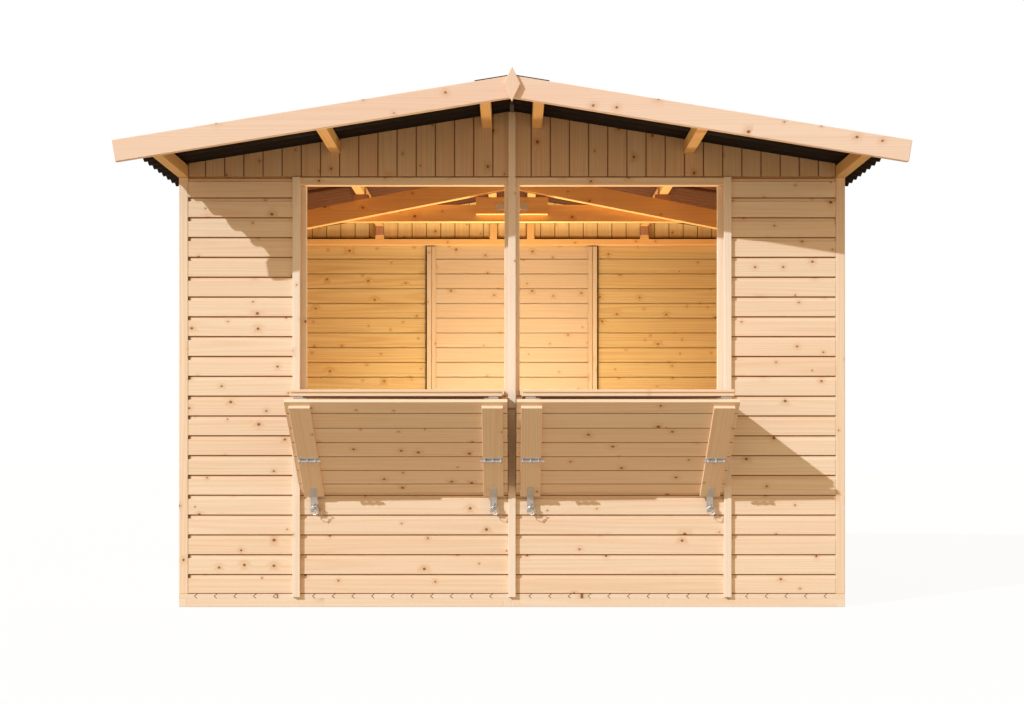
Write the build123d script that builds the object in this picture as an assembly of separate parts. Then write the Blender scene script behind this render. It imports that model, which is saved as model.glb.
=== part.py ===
"""Wooden market stall with two serving hatches, a gabled corrugated roof and a back door.

Row frame in millimetres: +X right as seen from the front, +Y into the stall, +Z up.
The origin is on the ground, at the centre of the floor.
"""

import os
from math import atan2, cos, pi, radians, sin, tan

from build123d import *

# Overall plan, measured over the outer faces of the corner posts.
stall_width = 2956
stall_depth = 1960

# Timber sections.
board_thickness = 18
board_cover = 88
frame_timber = 41
trim_width = 33
trim_thickness = 16
trim_drop = 13

# Floor.
floor_beam_height = 38
floor_beam_width = 36
floor_board_thickness = 20
floor_cross_beams = 5

# Walls, counted in courses of boards.
courses_to_wall_top = 21
courses_to_sill = 10
sill_thickness = 23
header_height = 34

# Serving hatches, each between the centre post and a window post.
centre_post_width = 68
hatch_width = 880

# Back door, hinged at its edge on the +X side and opening outwards.
door_half_width = 505
door_gap = 10
door_floor_gap = 6
door_stile_width = 53
door_stile_thickness = 30
door_ledge_height = 90
door_ledge_rises = (20, 860)
hinge_rises = (170, 920, 1640)
strap_length = 260
strap_height = 30
strap_thickness = 4
wall_plate_length = 70
wall_plate_height = 42
hinge_knuckle_radius = 6
hinge_pin_radius = 3
hinge_knuckle_height = 14
hinge_neck_thickness = 3
hinge_neck_sink = 1
knuckle_gap = 0.6
hinge_pin_clearance = 0.05
bolt_rise = 960
bolt_plate_length = 110
bolt_plate_height = 36
bolt_plate_thickness = 2
bolt_rod_radius = 5
bolt_rod_length = 96
bolt_guide_width = 12
bolt_guide_size = 18
bolt_guide_inset = 4
bolt_knob_radius = 4
bolt_knob_length = 16
bolt_knob_sink = 1
keeper_plate_length = 30
keeper_clearance = 1

# Roof.
roof_pitch = 9.2
purlin_width = 45
purlin_height = 54
eaves_purlin_proud = 4
ridge_purlin_outer = 133
eaves_overhang = 155
gable_overhang = 460
barge_height = 90
barge_thickness = 20
sheet_thickness = 3
sheet_wave_height = 27
sheet_wave_pitch = 75.5
sheet_wave_chords = 8
sheet_ridge_gap = 8
sheet_edge_inset = 43
ridge_cap_flange = 155
ridge_cap_thickness = 3
roof_seat = 0.3
finial_width = 70
finial_height = 141
finial_thickness = 18
finial_below_ridge = 111

# Middle truss.
rafter_pitch = 11.0
rafter_depth = 93
rafter_thickness = 38
truss_front = -38
tie_above_header_bottom = 8
tie_depth = 89
tie_thickness = 30
tie_half_length = 1000
gusset_half_width = 187
gusset_rafter_gap = 7.5
gusset_depth = 88
gusset_thickness = 30
packer_width = 83

# Gables.
gable_rail_height = 34
gable_cleat_height = 52
gable_batten_width = 31
notch_clearance = 0.5

# Two-part folding shutters, shown open: a level counter held up by a sloping brace.
shutter_side_gap = 2.5
counter_reach = 425
counter_top = 947
counter_thickness = 28
counter_slit_height = 6
counter_slit_depth = 8
counter_slit_rise = 12
counter_wall_gap = 3
counter_side_inset = 23
brace_reach = 430
brace_top = 895
brace_bottom = 502
brace_foot_depth = 13
brace_seat = 0.3
shutter_batten_width = 88
shutter_batten_inset = 18
shutter_batten_thickness = 16
shutter_batten_start = 20
fold_hinge_width = 58
fold_hinge_radius = 4.2
fold_hinge_inset = 66
fold_leaf_length = 30
fold_leaf_thickness = 2
shutter_bolt_rod_radius = 4
shutter_bolt_rod_length = 84
shutter_bolt_plate = (52, 30, 2)
shutter_bolt_guide = (10, 16, 14)
shutter_bolt_from_end = 240
strap_width = 30
strap_plate_thickness = 3
strap_upper_leg = 62
strap_lower_leg = 66
strap_slot_width = 8
strap_slot_height = 24
strap_slot_rise = 18
staple_width = 6
staple_height = 20
staple_proud = 14

# Levels and planes that follow from the values above.
half_width = stall_width / 2
half_depth = stall_depth / 2
floor_top = floor_beam_height + floor_board_thickness
wall_top = floor_top + courses_to_wall_top * board_cover
apron_top = floor_top + courses_to_sill * board_cover
sill_top = apron_top + sill_thickness
header_bottom = wall_top - header_height
post_inner_x = half_width - frame_timber
post_inner_y = half_depth - frame_timber
board_inner_x = half_width - board_thickness
board_inner_y = half_depth - board_thickness
frame_inner_x = board_inner_x - frame_timber
frame_inner_y = board_inner_y - frame_timber
centre_post_edge = centre_post_width / 2
hatch_edge = centre_post_edge + hatch_width
panel_joint = hatch_edge + frame_timber
trim_centre_x = panel_joint
trim_front_y = half_depth + trim_thickness
eaves_purlin_outer = half_width + eaves_purlin_proud
mid_purlin_outer = (eaves_purlin_outer + ridge_purlin_outer) / 2
purlin_outer_edges = (eaves_purlin_outer, mid_purlin_outer, ridge_purlin_outer)
roof_slope = tan(radians(roof_pitch))
ridge_underside = wall_top + purlin_height + roof_slope * eaves_purlin_outer
sheet_rise = sheet_wave_height / cos(radians(roof_pitch))
roof_half_span = half_width + eaves_overhang
tie_bottom = header_bottom + tie_above_header_bottom
barge_outer_y = half_depth + gable_overhang
barge_inner_y = barge_outer_y - barge_thickness
doorway_edge = door_half_width + door_gap


def block(x, y, z):
    """Box between the low and high value of each axis."""
    size = [high - low for low, high in (x, y, z)]
    middle = [(high + low) / 2 for low, high in (x, y, z)]
    return Pos(*middle) * Box(*size)


def right_prism(points, y_low, y_high):
    """Prism along Y of an outline given as (x, z) points."""
    face = make_face(Polyline(*[(x, z) for x, z in points], close=True))
    return extrude(Plane((0, y_high, 0), x_dir=(1, 0, 0), z_dir=(0, -1, 0)) * face, y_high - y_low)


def side_prism(points, x_low, x_high):
    """Prism along X of an outline given as (y, z) points."""
    face = make_face(Polyline(*[(y, z) for y, z in points], close=True))
    return extrude(Plane((x_low, 0, 0), x_dir=(0, 1, 0), z_dir=(1, 0, 0)) * face, x_high - x_low)


def mirror_x(shape):
    """The same shape on the other side of the stall's middle."""
    return mirror(shape, about=Plane.YZ)


def mirror_y(shape):
    """The same shape at the other end of the stall."""
    return mirror(shape, about=Plane.XZ)


def roof_underside(x):
    """Level of the plane on which the sheets rest, above the distance x from the middle."""
    return ridge_underside - roof_slope * abs(x)


def purlin_bottom(outer_edge):
    """Underside of the purlin whose upper outer corner touches the sheets."""
    return roof_underside(outer_edge) - purlin_height


def rafter_top(x):
    """Upper edge of the truss rafters, which meet the ridge purlins at their inner corners."""
    ridge_inner = ridge_purlin_outer - purlin_width
    seat = purlin_bottom(ridge_purlin_outer)
    return seat - tan(radians(rafter_pitch)) * (abs(x) - ridge_inner)


def make_floor_frame():
    """Beams of the right floor half: two along the sides and cross beams between them."""
    beam_z = (0, floor_beam_height)
    frame = block((0, floor_beam_width), (-half_depth, half_depth), beam_z)
    frame += block((half_width - floor_beam_width, half_width), (-half_depth, half_depth), beam_z)
    step = (stall_depth - floor_beam_width) / (floor_cross_beams - 1)
    for i in range(floor_cross_beams):
        front = -half_depth + i * step
        cross_x = (floor_beam_width, half_width - floor_beam_width)
        frame += block(cross_x, (front, front + floor_beam_width), beam_z)
    return frame


def make_floor_boards():
    """Boards of the right floor half, running from front to back."""
    return block((0, half_width), (-half_depth, half_depth), (floor_beam_height, floor_top))


def make_corner_posts():
    """Four square posts at the corners."""
    post = block((post_inner_x, half_width), (-half_depth, -post_inner_y), (floor_top, wall_top))
    front = [post, mirror_x(post)]
    return front + [mirror_y(p) for p in front]


def make_front_panel():
    """Cladding to the right of the right hatch."""
    return block((panel_joint, post_inner_x), (-half_depth, -board_inner_y), (floor_top, wall_top))


def make_front_apron():
    """Cladding below the right hatch, from the middle to the panel's edge."""
    return block((0, panel_joint), (-half_depth, -board_inner_y), (floor_top, apron_top))


def make_window_posts():
    """Centre post and the two posts at the outer sides of the hatches."""
    post_y = (-board_inner_y, -frame_inner_y)
    outer = block((hatch_edge, panel_joint), post_y, (floor_top, header_bottom))
    centre = block((-centre_post_edge, centre_post_edge), post_y, (floor_top, header_bottom))
    return [outer, centre, mirror_x(outer)]


def make_sill_rails():
    """Level sills on the aprons, between the posts."""
    sill_y = (-half_depth, -frame_inner_y)
    right = block((centre_post_edge, hatch_edge), sill_y, (apron_top, sill_top))
    return [right, mirror_x(right)]


def make_front_header():
    """Rail above both hatches."""
    return block((-panel_joint, panel_joint), (-half_depth, -frame_inner_y), (header_bottom, wall_top))


def make_front_trims():
    """Upright strips over the joints of the front wall."""
    trim_x = (-trim_width / 2, trim_width / 2)
    centre = block(trim_x, (-trim_front_y, -half_depth), (floor_top - trim_drop, wall_top))
    right = Pos(trim_centre_x, 0, 0) * centre
    return [centre, right, mirror_x(right)]


def make_side_wall():
    """Cladding of the right side."""
    return block((board_inner_x, half_width), (-post_inner_y, post_inner_y), (floor_top, wall_top))


def make_side_frame():
    """Rails and studs inside the right side wall, with the truss stud in the middle."""
    frame_x = (frame_inner_x, board_inner_x)
    reach = post_inner_y
    frame = block(frame_x, (-reach, reach), (floor_top, floor_top + frame_timber))
    frame += block(frame_x, (-reach, reach), (wall_top - frame_timber, wall_top))
    truss_stud_y = truss_front
    for front in (-reach, (truss_stud_y - reach) / 2, truss_stud_y, (reach - truss_stud_y) / 2):
        frame += block(frame_x, (front, front + frame_timber), (floor_top, wall_top))
    frame += block(frame_x, (reach - frame_timber, reach), (floor_top, wall_top))
    return frame


def make_back_wall():
    """Cladding to the right of the doorway."""
    return block((doorway_edge, post_inner_x), (board_inner_y, half_depth), (floor_top, wall_top))


def make_back_frame():
    """Bottom rail and corner stud inside the right back wall."""
    frame_y = (frame_inner_y, board_inner_y)
    frame = block((doorway_edge, frame_inner_x), frame_y, (floor_top, floor_top + frame_timber))
    frame += block((frame_inner_x - frame_timber, frame_inner_x), frame_y, (floor_top, wall_top))
    return frame


def make_gable_boards():
    """Upright boards of the right half of the front gable, notched for the purlins."""
    outline = [
        (0, wall_top),
        (post_inner_x, wall_top),
        (post_inner_x, roof_underside(post_inner_x)),
        (0, roof_underside(0)),
    ]
    boards = right_prism(outline, -half_depth, -board_inner_y)
    for outer_edge in purlin_outer_edges:
        low = purlin_bottom(outer_edge) - notch_clearance
        notch_x = (outer_edge - purlin_width - notch_clearance, outer_edge + notch_clearance)
        boards -= block(notch_x, (-barge_outer_y, 0), (low, ridge_underside))
    return boards


def make_gable_frame():
    """Rail, ridge studs and hanging cleats on the inside of the front gable."""
    frame_y = (-board_inner_y, -frame_inner_y)
    rail_top = wall_top + gable_rail_height
    frame = block((-post_inner_x, post_inner_x), frame_y, (wall_top, rail_top))
    stud_x = (ridge_purlin_outer - purlin_width, ridge_purlin_outer)
    stud = block(stud_x, frame_y, (rail_top, purlin_bottom(ridge_purlin_outer)))
    frame += stud
    frame += mirror_x(stud)
    cleat_x = (mid_purlin_outer - purlin_width, mid_purlin_outer)
    cleat_top = purlin_bottom(mid_purlin_outer)
    cleat = block(cleat_x, frame_y, (cleat_top - gable_cleat_height, cleat_top))
    return [frame, cleat, mirror_x(cleat)]


def make_gable_batten():
    """Upright strip over the joint of the front gable halves."""
    batten_y = (-half_depth - trim_thickness, -half_depth)
    half = gable_batten_width / 2
    return block((-half, half), batten_y, (wall_top, purlin_bottom(ridge_purlin_outer)))


def make_purlin_pair(outer_edge):
    """Two purlins at the same distance from the ridge, from barge board to barge board."""
    low = purlin_bottom(outer_edge)
    purlin_x = (outer_edge - purlin_width, outer_edge)
    right = block(purlin_x, (-barge_inner_y, barge_inner_y), (low, low + purlin_height))
    return [right, mirror_x(right)]


def rafter_underside(x):
    """Lower edge of the truss rafters."""
    return rafter_top(x) - rafter_depth / cos(radians(rafter_pitch))


def make_rafter():
    """Right rafter of the middle truss, cut upright at the ridge and at the side wall."""
    outline = [
        (0, rafter_top(0)),
        (frame_inner_x, rafter_top(frame_inner_x)),
        (frame_inner_x, rafter_underside(frame_inner_x)),
        (0, rafter_underside(0)),
    ]
    return right_prism(outline, truss_front, truss_front + rafter_thickness)


def make_tie_beam():
    """Level board behind the rafters, its upper ends cut along the rafters' tops."""
    tie_x = (-tie_half_length, tie_half_length)
    tie_y = (truss_front + rafter_thickness, truss_front + rafter_thickness + tie_thickness)
    tie = block(tie_x, tie_y, (tie_bottom, tie_bottom + tie_depth))
    above_rafter = [(0, rafter_top(0)), (half_width, rafter_top(half_width)), (half_width, ridge_underside)]
    waste = right_prism(above_rafter, *tie_y)
    return tie - waste - mirror_x(waste)


def make_truss_gusset():
    """Short board on the front of the tie beam, just under the rafters."""
    back = truss_front + rafter_thickness
    gusset_top = rafter_underside(gusset_half_width) - gusset_rafter_gap
    gusset_z = (gusset_top - gusset_depth, gusset_top)
    return block((-gusset_half_width, gusset_half_width), (back - gusset_thickness, back), gusset_z)


def make_purlin_packers():
    """Wedges between the rafters and the mid purlins."""
    middle = mid_purlin_outer - purlin_width / 2
    seat = purlin_bottom(mid_purlin_outer)
    low_x = middle - packer_width / 2
    high_x = middle + packer_width / 2
    outline = [(low_x, rafter_top(low_x)), (high_x, rafter_top(high_x)), (high_x, seat), (low_x, seat)]
    right = right_prism(outline, truss_front, truss_front + rafter_thickness)
    return [right, mirror_x(right)]


def wave_line(start, pitch, count, level, height):
    """Points of a wave along the first axis, each wave drawn with a few straight chords."""
    steps = count * sheet_wave_chords
    points = []
    for i in range(steps + 1):
        turn = 2 * pi * i / sheet_wave_chords
        points.append((start + i * pitch / sheet_wave_chords, level - height / 2 * cos(turn)))
    return points


def make_roof_sheet():
    """Corrugated sheet of the right slope, with its waves running from ridge to eave."""
    length = 2 * barge_inner_y
    count = round(length / sheet_wave_pitch)
    pitch = length / count
    height = sheet_wave_height - sheet_thickness
    lower = wave_line(-barge_inner_y, pitch, count, height / 2, height)
    upper = [(y, z + sheet_thickness) for y, z in reversed(lower)]
    section = make_face(Polyline(*lower, *upper, close=True))
    slope_length = (roof_half_span - sheet_edge_inset) / cos(radians(roof_pitch)) - sheet_ridge_gap
    profile = Plane((sheet_ridge_gap, 0, 0), x_dir=(0, 1, 0), z_dir=(1, 0, 0)) * section
    sheet = extrude(profile, slope_length)
    return Pos(0, 0, ridge_underside + roof_seat) * Rot(0, roof_pitch, 0) * sheet


def make_ridge_cap():
    """Folded cap over the upper ends of both sheets."""
    flange_x = ridge_cap_flange * cos(radians(roof_pitch))
    level = ridge_underside + sheet_rise + 2 * roof_seat
    drop = roof_slope * flange_x
    outline = [
        (-flange_x, level - drop),
        (0, level),
        (flange_x, level - drop),
        (flange_x, level - drop + ridge_cap_thickness),
        (0, level + ridge_cap_thickness),
        (-flange_x, level - drop + ridge_cap_thickness),
    ]
    return right_prism(outline, -barge_outer_y, barge_outer_y)


def make_barge_board():
    """Front right barge board, its top level with the sheets and its lower end cut square."""
    tilt = radians(roof_pitch)
    ridge_top = ridge_underside + sheet_rise
    drop = barge_height / cos(tilt)
    end_x = roof_half_span
    end_top = ridge_top - roof_slope * end_x
    outline = [
        (0, ridge_top),
        (end_x, end_top),
        (end_x - barge_height * sin(tilt), end_top - barge_height * cos(tilt)),
        (0, ridge_top - drop),
    ]
    return right_prism(outline, -barge_outer_y, -barge_inner_y)


def make_finial():
    """Diamond board over the joint of the front barge boards."""
    ridge_top = ridge_underside + sheet_rise
    low = ridge_top - finial_below_ridge
    half = finial_width / 2
    outline = [
        (0, low),
        (half, low + finial_height / 2),
        (0, low + finial_height),
        (-half, low + finial_height / 2),
    ]
    return right_prism(outline, -barge_outer_y - finial_thickness, -barge_outer_y)


# Places of the folding shutters in the plane of Y and Z.
shutter_low_x = trim_width / 2 + shutter_side_gap
shutter_high_x = trim_centre_x - trim_width / 2 - shutter_side_gap
counter_front = -half_depth - counter_reach
counter_bottom = counter_top - counter_thickness
brace_front = -half_depth - brace_reach


def brace_angle():
    """Slope of the brace in radians, from its top corner to its foot against the wall."""
    return atan2(brace_top - brace_bottom, brace_reach - brace_foot_depth)


def brace_length():
    """Length of the brace so that its foot stops just clear of the cladding."""
    angle = brace_angle()
    return (brace_reach - board_thickness * sin(angle) - brace_seat) / cos(angle)


def on_brace(along, above):
    """Point (y, z) at a distance down the brace and above its visible face."""
    angle = brace_angle()
    y = brace_front + along * cos(angle) + above * sin(angle)
    z = brace_top - along * sin(angle) + above * cos(angle)
    return y, z


def brace_slab(x, along, above):
    """Slab lying on the brace between low and high values along it and above its face."""
    corners = [(along[0], above[0]), (along[1], above[0]), (along[1], above[1]), (along[0], above[1])]
    return side_prism([on_brace(a, b) for a, b in corners], x[0], x[1])


def batten_spans():
    """The two (low, high) spans in X of the battens on the right brace."""
    near = shutter_low_x + shutter_batten_inset
    far = shutter_high_x - shutter_batten_inset
    return [(near, near + shutter_batten_width), (far - shutter_batten_width, far)]


def make_counter():
    """Right counter leaf, with a slit along its front edge."""
    counter_x = (shutter_low_x + counter_side_inset, shutter_high_x - counter_side_inset)
    counter_y = (counter_front, -half_depth - counter_wall_gap)
    leaf = block(counter_x, counter_y, (counter_bottom, counter_top))
    slit_low = counter_bottom + counter_slit_rise
    slit_y = (counter_front, counter_front + counter_slit_depth)
    slit = block(counter_x, slit_y, (slit_low, slit_low + counter_slit_height))
    return leaf - slit


def make_brace():
    """Right brace leaf with the two battens on its visible face."""
    length = brace_length()
    leaf = brace_slab((shutter_low_x, shutter_high_x), (0, length), (0, board_thickness))
    for span in batten_spans():
        leaf += brace_slab(span, (shutter_batten_start, length), (-shutter_batten_thickness, 0))
    return leaf


def hinge_places():
    """Middle of each shutter hinge in X on the right side."""
    return [shutter_low_x + fold_hinge_inset, shutter_high_x - fold_hinge_inset]


def make_shutter_hinges():
    """Butt hinges between counter and brace, and between counter and wall."""
    hinges = []
    back_y, back_z = on_brace(0, board_thickness)
    wall_y = -half_depth - fold_hinge_radius
    pin_z = counter_bottom - fold_leaf_thickness / 2 - fold_hinge_radius
    leaf_z = (counter_bottom - fold_leaf_thickness, counter_bottom)
    brace_leaf = (board_thickness, board_thickness + fold_leaf_thickness)
    wall_leaf = (-half_depth - fold_leaf_thickness, -half_depth)
    for x in hinge_places():
        span = (x - fold_hinge_width / 2, x + fold_hinge_width / 2)
        barrel = Rot(0, 90, 0) * Cylinder(fold_hinge_radius, fold_hinge_width)
        fold = Pos(x, back_y, pin_z) * barrel
        fold += block(span, (back_y, back_y + fold_leaf_length), leaf_z)
        fold += brace_slab(span, (0, fold_leaf_length), brace_leaf)
        fold += block(span, (back_y, back_y + fold_leaf_thickness), (back_z, pin_z))
        wall = Pos(x, wall_y, pin_z) * barrel
        wall += block(span, (wall_y - fold_leaf_length, wall_y), leaf_z)
        wall += block(span, wall_leaf, (pin_z - fold_leaf_length, pin_z))
        hinges += [fold, wall]
    return hinges + [mirror_x(h) for h in hinges]


def make_shutter_bolts():
    """Barrel bolts across the battens, their rods drawn back towards the middle of the leaf."""
    bolts = []
    along = brace_length() - shutter_bolt_from_end
    plate_x, plate_along, plate_thick = shutter_bolt_plate
    guide_x, guide_along, guide_out = shutter_bolt_guide
    face = -shutter_batten_thickness
    for side, span in zip((1, -1), batten_spans()):
        middle = (span[0] + span[1]) / 2
        plate = brace_slab(
            (middle - plate_x / 2, middle + plate_x / 2),
            (along - plate_along / 2, along + plate_along / 2),
            (face - plate_thick, face),
        )
        for offset in (-1, 1):
            place = middle + offset * (plate_x - guide_x) / 2
            plate += brace_slab(
                (place - guide_x / 2, place + guide_x / 2),
                (along - guide_along / 2, along + guide_along / 2),
                (face - plate_thick - guide_out, face - plate_thick),
            )
        rod_y, rod_z = on_brace(along, face - plate_thick - guide_out / 2)
        rod_x = middle + side * (shutter_bolt_rod_length - plate_x) / 2
        rod = Cylinder(shutter_bolt_rod_radius, shutter_bolt_rod_length)
        bolts.append(plate + Pos(rod_x, rod_y, rod_z) * Rot(0, 90, 0) * rod)
    return bolts + [mirror_x(b) for b in bolts]


def strap_places():
    """Middle of each hook strap in X on the right side."""
    return [(span[0] + span[1]) / 2 for span in batten_spans()]


def make_shutter_straps():
    """Bent straps on the battens, slotted over the staples in the wall."""
    straps = []
    length = brace_length()
    out = -shutter_batten_thickness
    foot_y, foot_z = on_brace(length, out - strap_plate_thickness)
    inner_y = foot_y + strap_plate_thickness
    leg_bottom = foot_z - strap_lower_leg
    lower_leg = [(foot_y, foot_z), on_brace(length, out), (inner_y, leg_bottom), (foot_y, leg_bottom)]
    slot_low = leg_bottom + strap_slot_rise
    for x in strap_places():
        span = (x - strap_width / 2, x + strap_width / 2)
        strap = brace_slab(span, (length - strap_upper_leg, length), (out - strap_plate_thickness, out))
        strap += side_prism(lower_leg, span[0], span[1])
        slot_x = (x - strap_slot_width / 2, x + strap_slot_width / 2)
        strap -= block(slot_x, (foot_y, -half_depth), (slot_low, slot_low + strap_slot_height))
        straps.append(strap)
    return straps + [mirror_x(s) for s in straps]


def make_shutter_staples():
    """Flat staples that stand out of the wall through the slots of the straps."""
    staples = []
    foot_y, foot_z = on_brace(brace_length(), -shutter_batten_thickness - strap_plate_thickness)
    slot_middle = foot_z - strap_lower_leg + strap_slot_rise + strap_slot_height / 2
    for x in strap_places():
        staple_x = (x - staple_width / 2, x + staple_width / 2)
        staple_z = (slot_middle - staple_height / 2, slot_middle + staple_height / 2)
        staples.append(block(staple_x, (foot_y - staple_proud, -half_depth), staple_z))
    return staples + [mirror_x(s) for s in staples]


# Places of the back door.
door_bottom = floor_top + door_floor_gap
door_top = wall_top - door_gap
hinge_axis_x = door_half_width + door_gap / 2
hinge_axis_y = half_depth + strap_thickness + hinge_knuckle_radius


def make_door_leaf():
    """Boards of the door, level with the outer cladding."""
    door_x = (-door_half_width, door_half_width)
    return block(door_x, (board_inner_y, half_depth), (door_bottom, door_top))


def make_door_ledges():
    """Stiles and ledges on the inside of the door."""
    back = (board_inner_y - door_stile_thickness, board_inner_y)
    inner = door_half_width - door_stile_width
    frame = block((inner, door_half_width), back, (door_bottom, door_top))
    frame += block((-door_half_width, -inner), back, (door_bottom, door_top))
    for rise in door_ledge_rises:
        low = door_bottom + rise
        frame += block((-inner, inner), back, (low, low + door_ledge_height))
    return frame


def knuckle(low):
    """Hinge knuckle on the door's axis."""
    solid = Cylinder(hinge_knuckle_radius, hinge_knuckle_height)
    return Pos(hinge_axis_x, hinge_axis_y, low + hinge_knuckle_height / 2) * solid


def neck(x, low):
    """Piece that joins a knuckle to its plate."""
    start = half_depth + strap_thickness - hinge_neck_sink
    return block(x, (start, start + hinge_neck_thickness), (low, low + hinge_knuckle_height))


def make_door_straps():
    """Strap hinges across the outside of the door, each with one knuckle."""
    straps = []
    hole = hinge_pin_radius + hinge_pin_clearance
    strap_y = (half_depth, half_depth + strap_thickness)
    for rise in hinge_rises:
        middle = floor_top + rise
        low = middle - hinge_knuckle_height / 2
        strap_z = (middle - strap_height / 2, middle + strap_height / 2)
        plate = block((hinge_axis_x - strap_length, door_half_width), strap_y, strap_z)
        plate += neck((door_half_width - hinge_knuckle_radius, hinge_axis_x), low)
        plate += knuckle(low)
        bore = Pos(hinge_axis_x, hinge_axis_y, middle) * Cylinder(hole, hinge_knuckle_height)
        straps.append(plate - bore)
    return straps


def make_hinge_pins():
    """Wall plates of the strap hinges, each with two knuckles and the pin."""
    plates = []
    plate_x = (doorway_edge, doorway_edge + wall_plate_length)
    plate_y = (half_depth, half_depth + strap_thickness)
    reach = hinge_knuckle_height / 2 + knuckle_gap
    pin_length = 2 * (reach + hinge_knuckle_height)
    for rise in hinge_rises:
        middle = floor_top + rise
        plate_z = (middle - wall_plate_height / 2, middle + wall_plate_height / 2)
        plate = block(plate_x, plate_y, plate_z)
        for low in (middle - reach - hinge_knuckle_height, middle + reach):
            plate += neck((hinge_axis_x, doorway_edge + hinge_knuckle_radius), low)
            plate += knuckle(low)
        plate += Pos(hinge_axis_x, hinge_axis_y, middle) * Cylinder(hinge_pin_radius, pin_length)
        plates.append(plate)
    return plates


def make_door_bolt():
    """Barrel bolt on the outside of the door at its free edge, drawn back."""
    middle_z = floor_top + bolt_rise
    plate_x = (-door_half_width, -door_half_width + bolt_plate_length)
    plate_top = half_depth + bolt_plate_thickness
    bolt = block(
        plate_x,
        (half_depth, plate_top),
        (middle_z - bolt_plate_height / 2, middle_z + bolt_plate_height / 2),
    )
    guide_z = (middle_z - bolt_guide_size / 2, middle_z + bolt_guide_size / 2)
    guide_far = plate_x[1] - bolt_guide_inset - bolt_guide_width
    for low in (plate_x[0] + bolt_guide_inset, guide_far):
        bolt += block((low, low + bolt_guide_width), (plate_top, plate_top + bolt_guide_size), guide_z)
    rod_y = plate_top + bolt_guide_size / 2
    rod_x = plate_x[0] + bolt_rod_length / 2
    bolt += Pos(rod_x, rod_y, middle_z) * Rot(0, 90, 0) * Cylinder(bolt_rod_radius, bolt_rod_length)
    knob_y = rod_y + bolt_rod_radius + bolt_knob_length / 2 - bolt_knob_sink
    bolt += Pos(rod_x, knob_y, middle_z) * Rot(90, 0, 0) * Cylinder(bolt_knob_radius, bolt_knob_length)
    return bolt


def make_bolt_keeper():
    """Keeper for the rod on the wall beside the door."""
    middle_z = floor_top + bolt_rise
    plate_top = half_depth + bolt_plate_thickness
    keeper = block(
        (-doorway_edge - keeper_plate_length, -doorway_edge),
        (half_depth, plate_top),
        (middle_z - bolt_plate_height / 2, middle_z + bolt_plate_height / 2),
    )
    middle_x = -doorway_edge - keeper_plate_length / 2
    loop = block(
        (middle_x - bolt_guide_width / 2, middle_x + bolt_guide_width / 2),
        (plate_top, plate_top + bolt_guide_size),
        (middle_z - bolt_guide_size / 2, middle_z + bolt_guide_size / 2),
    )
    rod_y = plate_top + bolt_guide_size / 2
    bore = Cylinder(bolt_rod_radius + keeper_clearance, keeper_plate_length)
    return keeper + (loop - Pos(middle_x, rod_y, middle_z) * Rot(0, 90, 0) * bore)


def save(name, shape):
    """Write one sub-part; a list of solids goes in together."""
    if isinstance(shape, list):
        shape = Compound(children=shape)
    export_step(shape, f"parts/{name}.step")


def save_pair(name, shape):
    """Write a right-hand sub-part and its mirror image."""
    save(f"{name}_right", shape)
    save(f"{name}_left", mirror_x(shape))


os.makedirs("parts", exist_ok=True)

save_pair("floor_frame", make_floor_frame())
save_pair("floor_boards", make_floor_boards())
save("corner_posts", make_corner_posts())
save_pair("front_panel", make_front_panel())
save_pair("front_apron", make_front_apron())
save("window_posts", make_window_posts())
save("sill_rails", make_sill_rails())
save("front_header", make_front_header())
save("front_trims", make_front_trims())
save_pair("side_wall", make_side_wall())
save("side_frames", [make_side_frame(), mirror_x(make_side_frame())])
save_pair("back_wall", make_back_wall())
save("back_frames", [make_back_frame(), mirror_x(make_back_frame())])
save_pair("gable_front", make_gable_boards())
save_pair("gable_back", mirror_y(make_gable_boards()))
save("gable_frames", make_gable_frame() + [mirror_y(s) for s in make_gable_frame()])
save("gable_battens", [make_gable_batten(), mirror_y(make_gable_batten())])
for label, edge in zip(("eaves", "mid", "ridge"), purlin_outer_edges):
    save(f"{label}_purlins", make_purlin_pair(edge))
save_pair("rafter", make_rafter())
save("tie_beam", make_tie_beam())
save("truss_gusset", make_truss_gusset())
save("purlin_packers", make_purlin_packers())
save_pair("roof_sheet", make_roof_sheet())
save("ridge_cap", make_ridge_cap())
save_pair("barge_board_front", make_barge_board())
save_pair("barge_board_back", mirror_y(make_barge_board()))
save("finials", [make_finial(), mirror_y(make_finial())])
save_pair("counter", make_counter())
save_pair("brace", make_brace())
save("shutter_hinges", make_shutter_hinges())
save("shutter_bolts", make_shutter_bolts())
save("shutter_straps", make_shutter_straps())
save("shutter_staples", make_shutter_staples())
save("door_leaf", make_door_leaf())
save("door_ledges", make_door_ledges())
save("door_straps", make_door_straps())
save("hinge_pins", make_hinge_pins())
save("door_bolt", make_door_bolt())
save("bolt_keeper", make_bolt_keeper())
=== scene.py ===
"""Looks of a wooden market stall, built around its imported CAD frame."""

import logging
import math
import random
from collections.abc import Callable, Sequence
from dataclasses import dataclass, field
from enum import Enum
from typing import NamedTuple

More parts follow.
